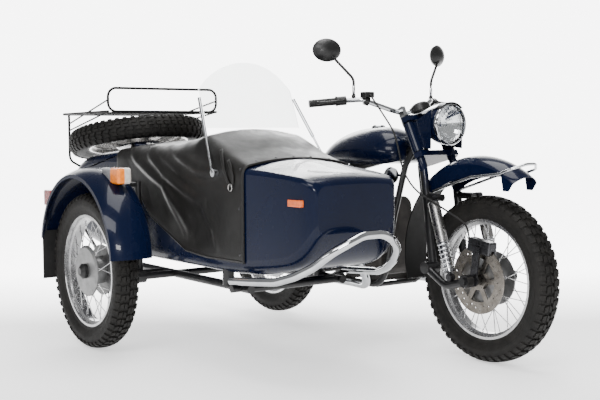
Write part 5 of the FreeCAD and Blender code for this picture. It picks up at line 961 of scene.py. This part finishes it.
# Carried-over nodes that show another material than their slot's
OTHER_MATERIALS = {
    "leading_links": "black_paint", "brake_caliper": "gunmetal", "engine_block": "dark_casting",
    "luggage_rack": "rack_paint", "brake_disc": "disc_steel", "front_flap": "rack_paint",
    "nacelle_cover": "dark_chrome",
}
# Front shock absorbers, in millimetres: the line of one, where the can starts and ends and the spring ends,
# and what stands outside the rod
SHOCK_TOP = (1342.0, 672.0)
SHOCK_FOOT = (1449.0, 352.0)
CAN_START_SHARE = 0.06
CAN_END_SHARE = 0.56
SPRING_END_SHARE = 0.93
SPRING_INSIDE = 17.5
SHOCK_HALF_TRACK = 136.0
# Above this height the fork is blue
FORK_BLUE_HEIGHT = 745.0


def cover_with(node, *chosen):
    """Only these materials on a carried-over node."""
    mesh = NODES[node].data
    mesh.materials.clear()
    for material in chosen:
        mesh.materials.append(material)
    return mesh


def dress_front_shocks(materials):
    """Grey eyes and rods, bright cans and plated springs."""
    mesh = cover_with("front_shocks", *(materials[kind] for kind in ("gunmetal", "steel", "chrome")))
    top, foot = (at(x, 0, z) for x, z in (SHOCK_TOP, SHOCK_FOOT))
    length = (foot - top).length
    way = (foot - top) / length
    for face in mesh.polygons:
        side = 1 if face.center.y > START.y else -1
        start = top + Y_WAY * side * SHOCK_HALF_TRACK * MM
        along = (face.center - start).dot(way)
        reach = (face.center - start - way * along).length / MM
        share = along / length
        if CAN_START_SHARE < share < CAN_END_SHARE:
            face.material_index = 1
        elif CAN_END_SHARE <= share < SPRING_END_SHARE and reach > SPRING_INSIDE:
            face.material_index = 2
        else:
            face.material_index = 0


def dress_fork(materials):
    """Blue upper legs and yokes, black lower legs."""
    mesh = cover_with("fork", materials["black_paint"], materials["blue_paint"])
    for face in mesh.polygons:
        face.material_index = 1 if face.center.z > FORK_BLUE_HEIGHT * MM else 0


def dress_nodes(materials):
    for part in frame["record"]["subparts"]:
        node = part["node"]
        cover_with(node, materials[OTHER_MATERIALS.get(node, part["material_slot"])])
    dress_front_shocks(materials)
    dress_fork(materials)
    cover_with("marker_lamp", corner_lamp("marker_lamp_lens", *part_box("marker_lamp")))
    wheels = {"front_wheel": FRONT_AXLE, "rear_wheel": REAR_AXLE, "sidecar_wheel": SIDE_AXLE}
    for node, axle in wheels.items():
        cover_with(node, wheel_metal(node + "_metal", axle))


# Stage and light, in metres and watts
FLOOR_HALF = 40
AWAY = (-0.806, 0.592, 0)
ASIDE = (0.592, 0.806, 0)
WALL_DIM = 0.40
WALL_BRIGHT = 7.0
WALL_EDGE = (0.70, 0.92)
# Floor glow, painted light: strong in a corridor far behind the object and weaker near it, where the lower glow is
# painted shade
GLOW_NEAR = 0.8
GLOW_FAR = 6.0
GLOW_DEPTH = (0.4, 2.2)
GLOW_SIDE = (1.5, 4.5)
GLOW_OPENING = 0.36
# Lamps: place, what they aim at, size and power
LAMPS = {
    "key": ((3.0, -3.6, 4.4), (0, 0, 0.5), (3.2, 1.6), 200.0),
    "top": ((0.2, 0.2, 4.6), (0, 0, 0), (4.0, 2.0), 230.0),
    "rim": ((-4.0, 2.5, 3.0), (0, 0, 0.6), (2.5, 1.2), 110.0),
    "side": ((0.5, -5.0, 2.2), (0, 0, 0.5), (2.6, 0.7), 45.0),
    "front": ((4.6, -2.6, 1.9), (0.7, 0.2, 0.8), (1.2, 0.5), 90.0),
}


def floor_glow(tree):
    """Painted light on the floor: it glows far behind the object like a lit studio sweep, and its weaker glow near
    the object is painted shade round it.
    """
    behind = tree.dotted(AWAY)
    aside = tree.sum_up("ABSOLUTE", tree.dotted(ASIDE))
    allowed = tree.sum_up("MULTIPLY", tree.sum_up("MAXIMUM", behind, 0.0), GLOW_OPENING)
    corridor = tree.spread(tree.sum_up("SUBTRACT", aside, allowed), 1.0, 0.0, *GLOW_SIDE)
    glow = tree.sum_up("MULTIPLY", corridor, tree.spread(behind, 0.0, 1.0, *GLOW_DEPTH))
    return tree.sum_up("MULTIPLY_ADD", glow, GLOW_FAR - GLOW_NEAR, GLOW_NEAR)


def make_floor():
    mesh = bpy.data.meshes.new("floor")
    corners = [(x * FLOOR_HALF, y * FLOOR_HALF, 0) for x, y in ((-1, -1), (1, -1), (1, 1), (-1, 1))]
    mesh.from_pydata(corners, [], [(0, 1, 2, 3)])
    floor = bpy.data.objects.new("floor", mesh)
    bpy.context.scene.collection.objects.link(floor)
    material, tree = started("floor_white_painted_glow")
    tree.put("Base Color", tree.blend(tree.cloud(1.5), (0.86, 0.86, 0.86), (0.88, 0.88, 0.88)))
    tree.put("Roughness", 0.75)
    # Emission is painted light standing in for a lit floor, dimmer near the object as painted shade
    tree.put("Emission Color", (1, 1, 1))
    tree.put("Emission Strength", floor_glow(tree))
    mesh.materials.append(material)


def make_world():
    """A bright studio wall behind the object and dim walls elsewhere."""
    world = bpy.data.worlds.new("studio")
    bpy.context.scene.world = world
    tree = Tree(world, "Generated")
    backdrop = tree.nodes["Background"].inputs
    tree.fill(backdrop["Color"], (1.0, 1.0, 1.0))
    tree.fill(backdrop["Strength"], tree.spread(tree.dotted(AWAY), WALL_DIM, WALL_BRIGHT, *WALL_EDGE))


def make_lamps():
    for name, (place, aim, size, power) in LAMPS.items():
        data = bpy.data.lights.new(name, "AREA")
        data.shape = "RECTANGLE"
        data.size, data.size_y = size
        data.energy = power
        lamp = bpy.data.objects.new(name, data)
        lamp.location = place
        lamp.rotation_mode = "QUATERNION"
        lamp.rotation_quaternion = (Vector(aim) - Vector(place)).to_track_quat("-Z", "Y")
        bpy.context.scene.collection.objects.link(lamp)


def main():
    make_camera()
    materials = make_materials()
    dress_nodes(materials)
    make_tyres(materials)
    make_cover(materials)
    make_seat(materials)
    make_strap(materials)
    make_mirror_stems(materials)
    make_headlight(materials)
    make_floor()
    make_world()
    make_lamps()


main()
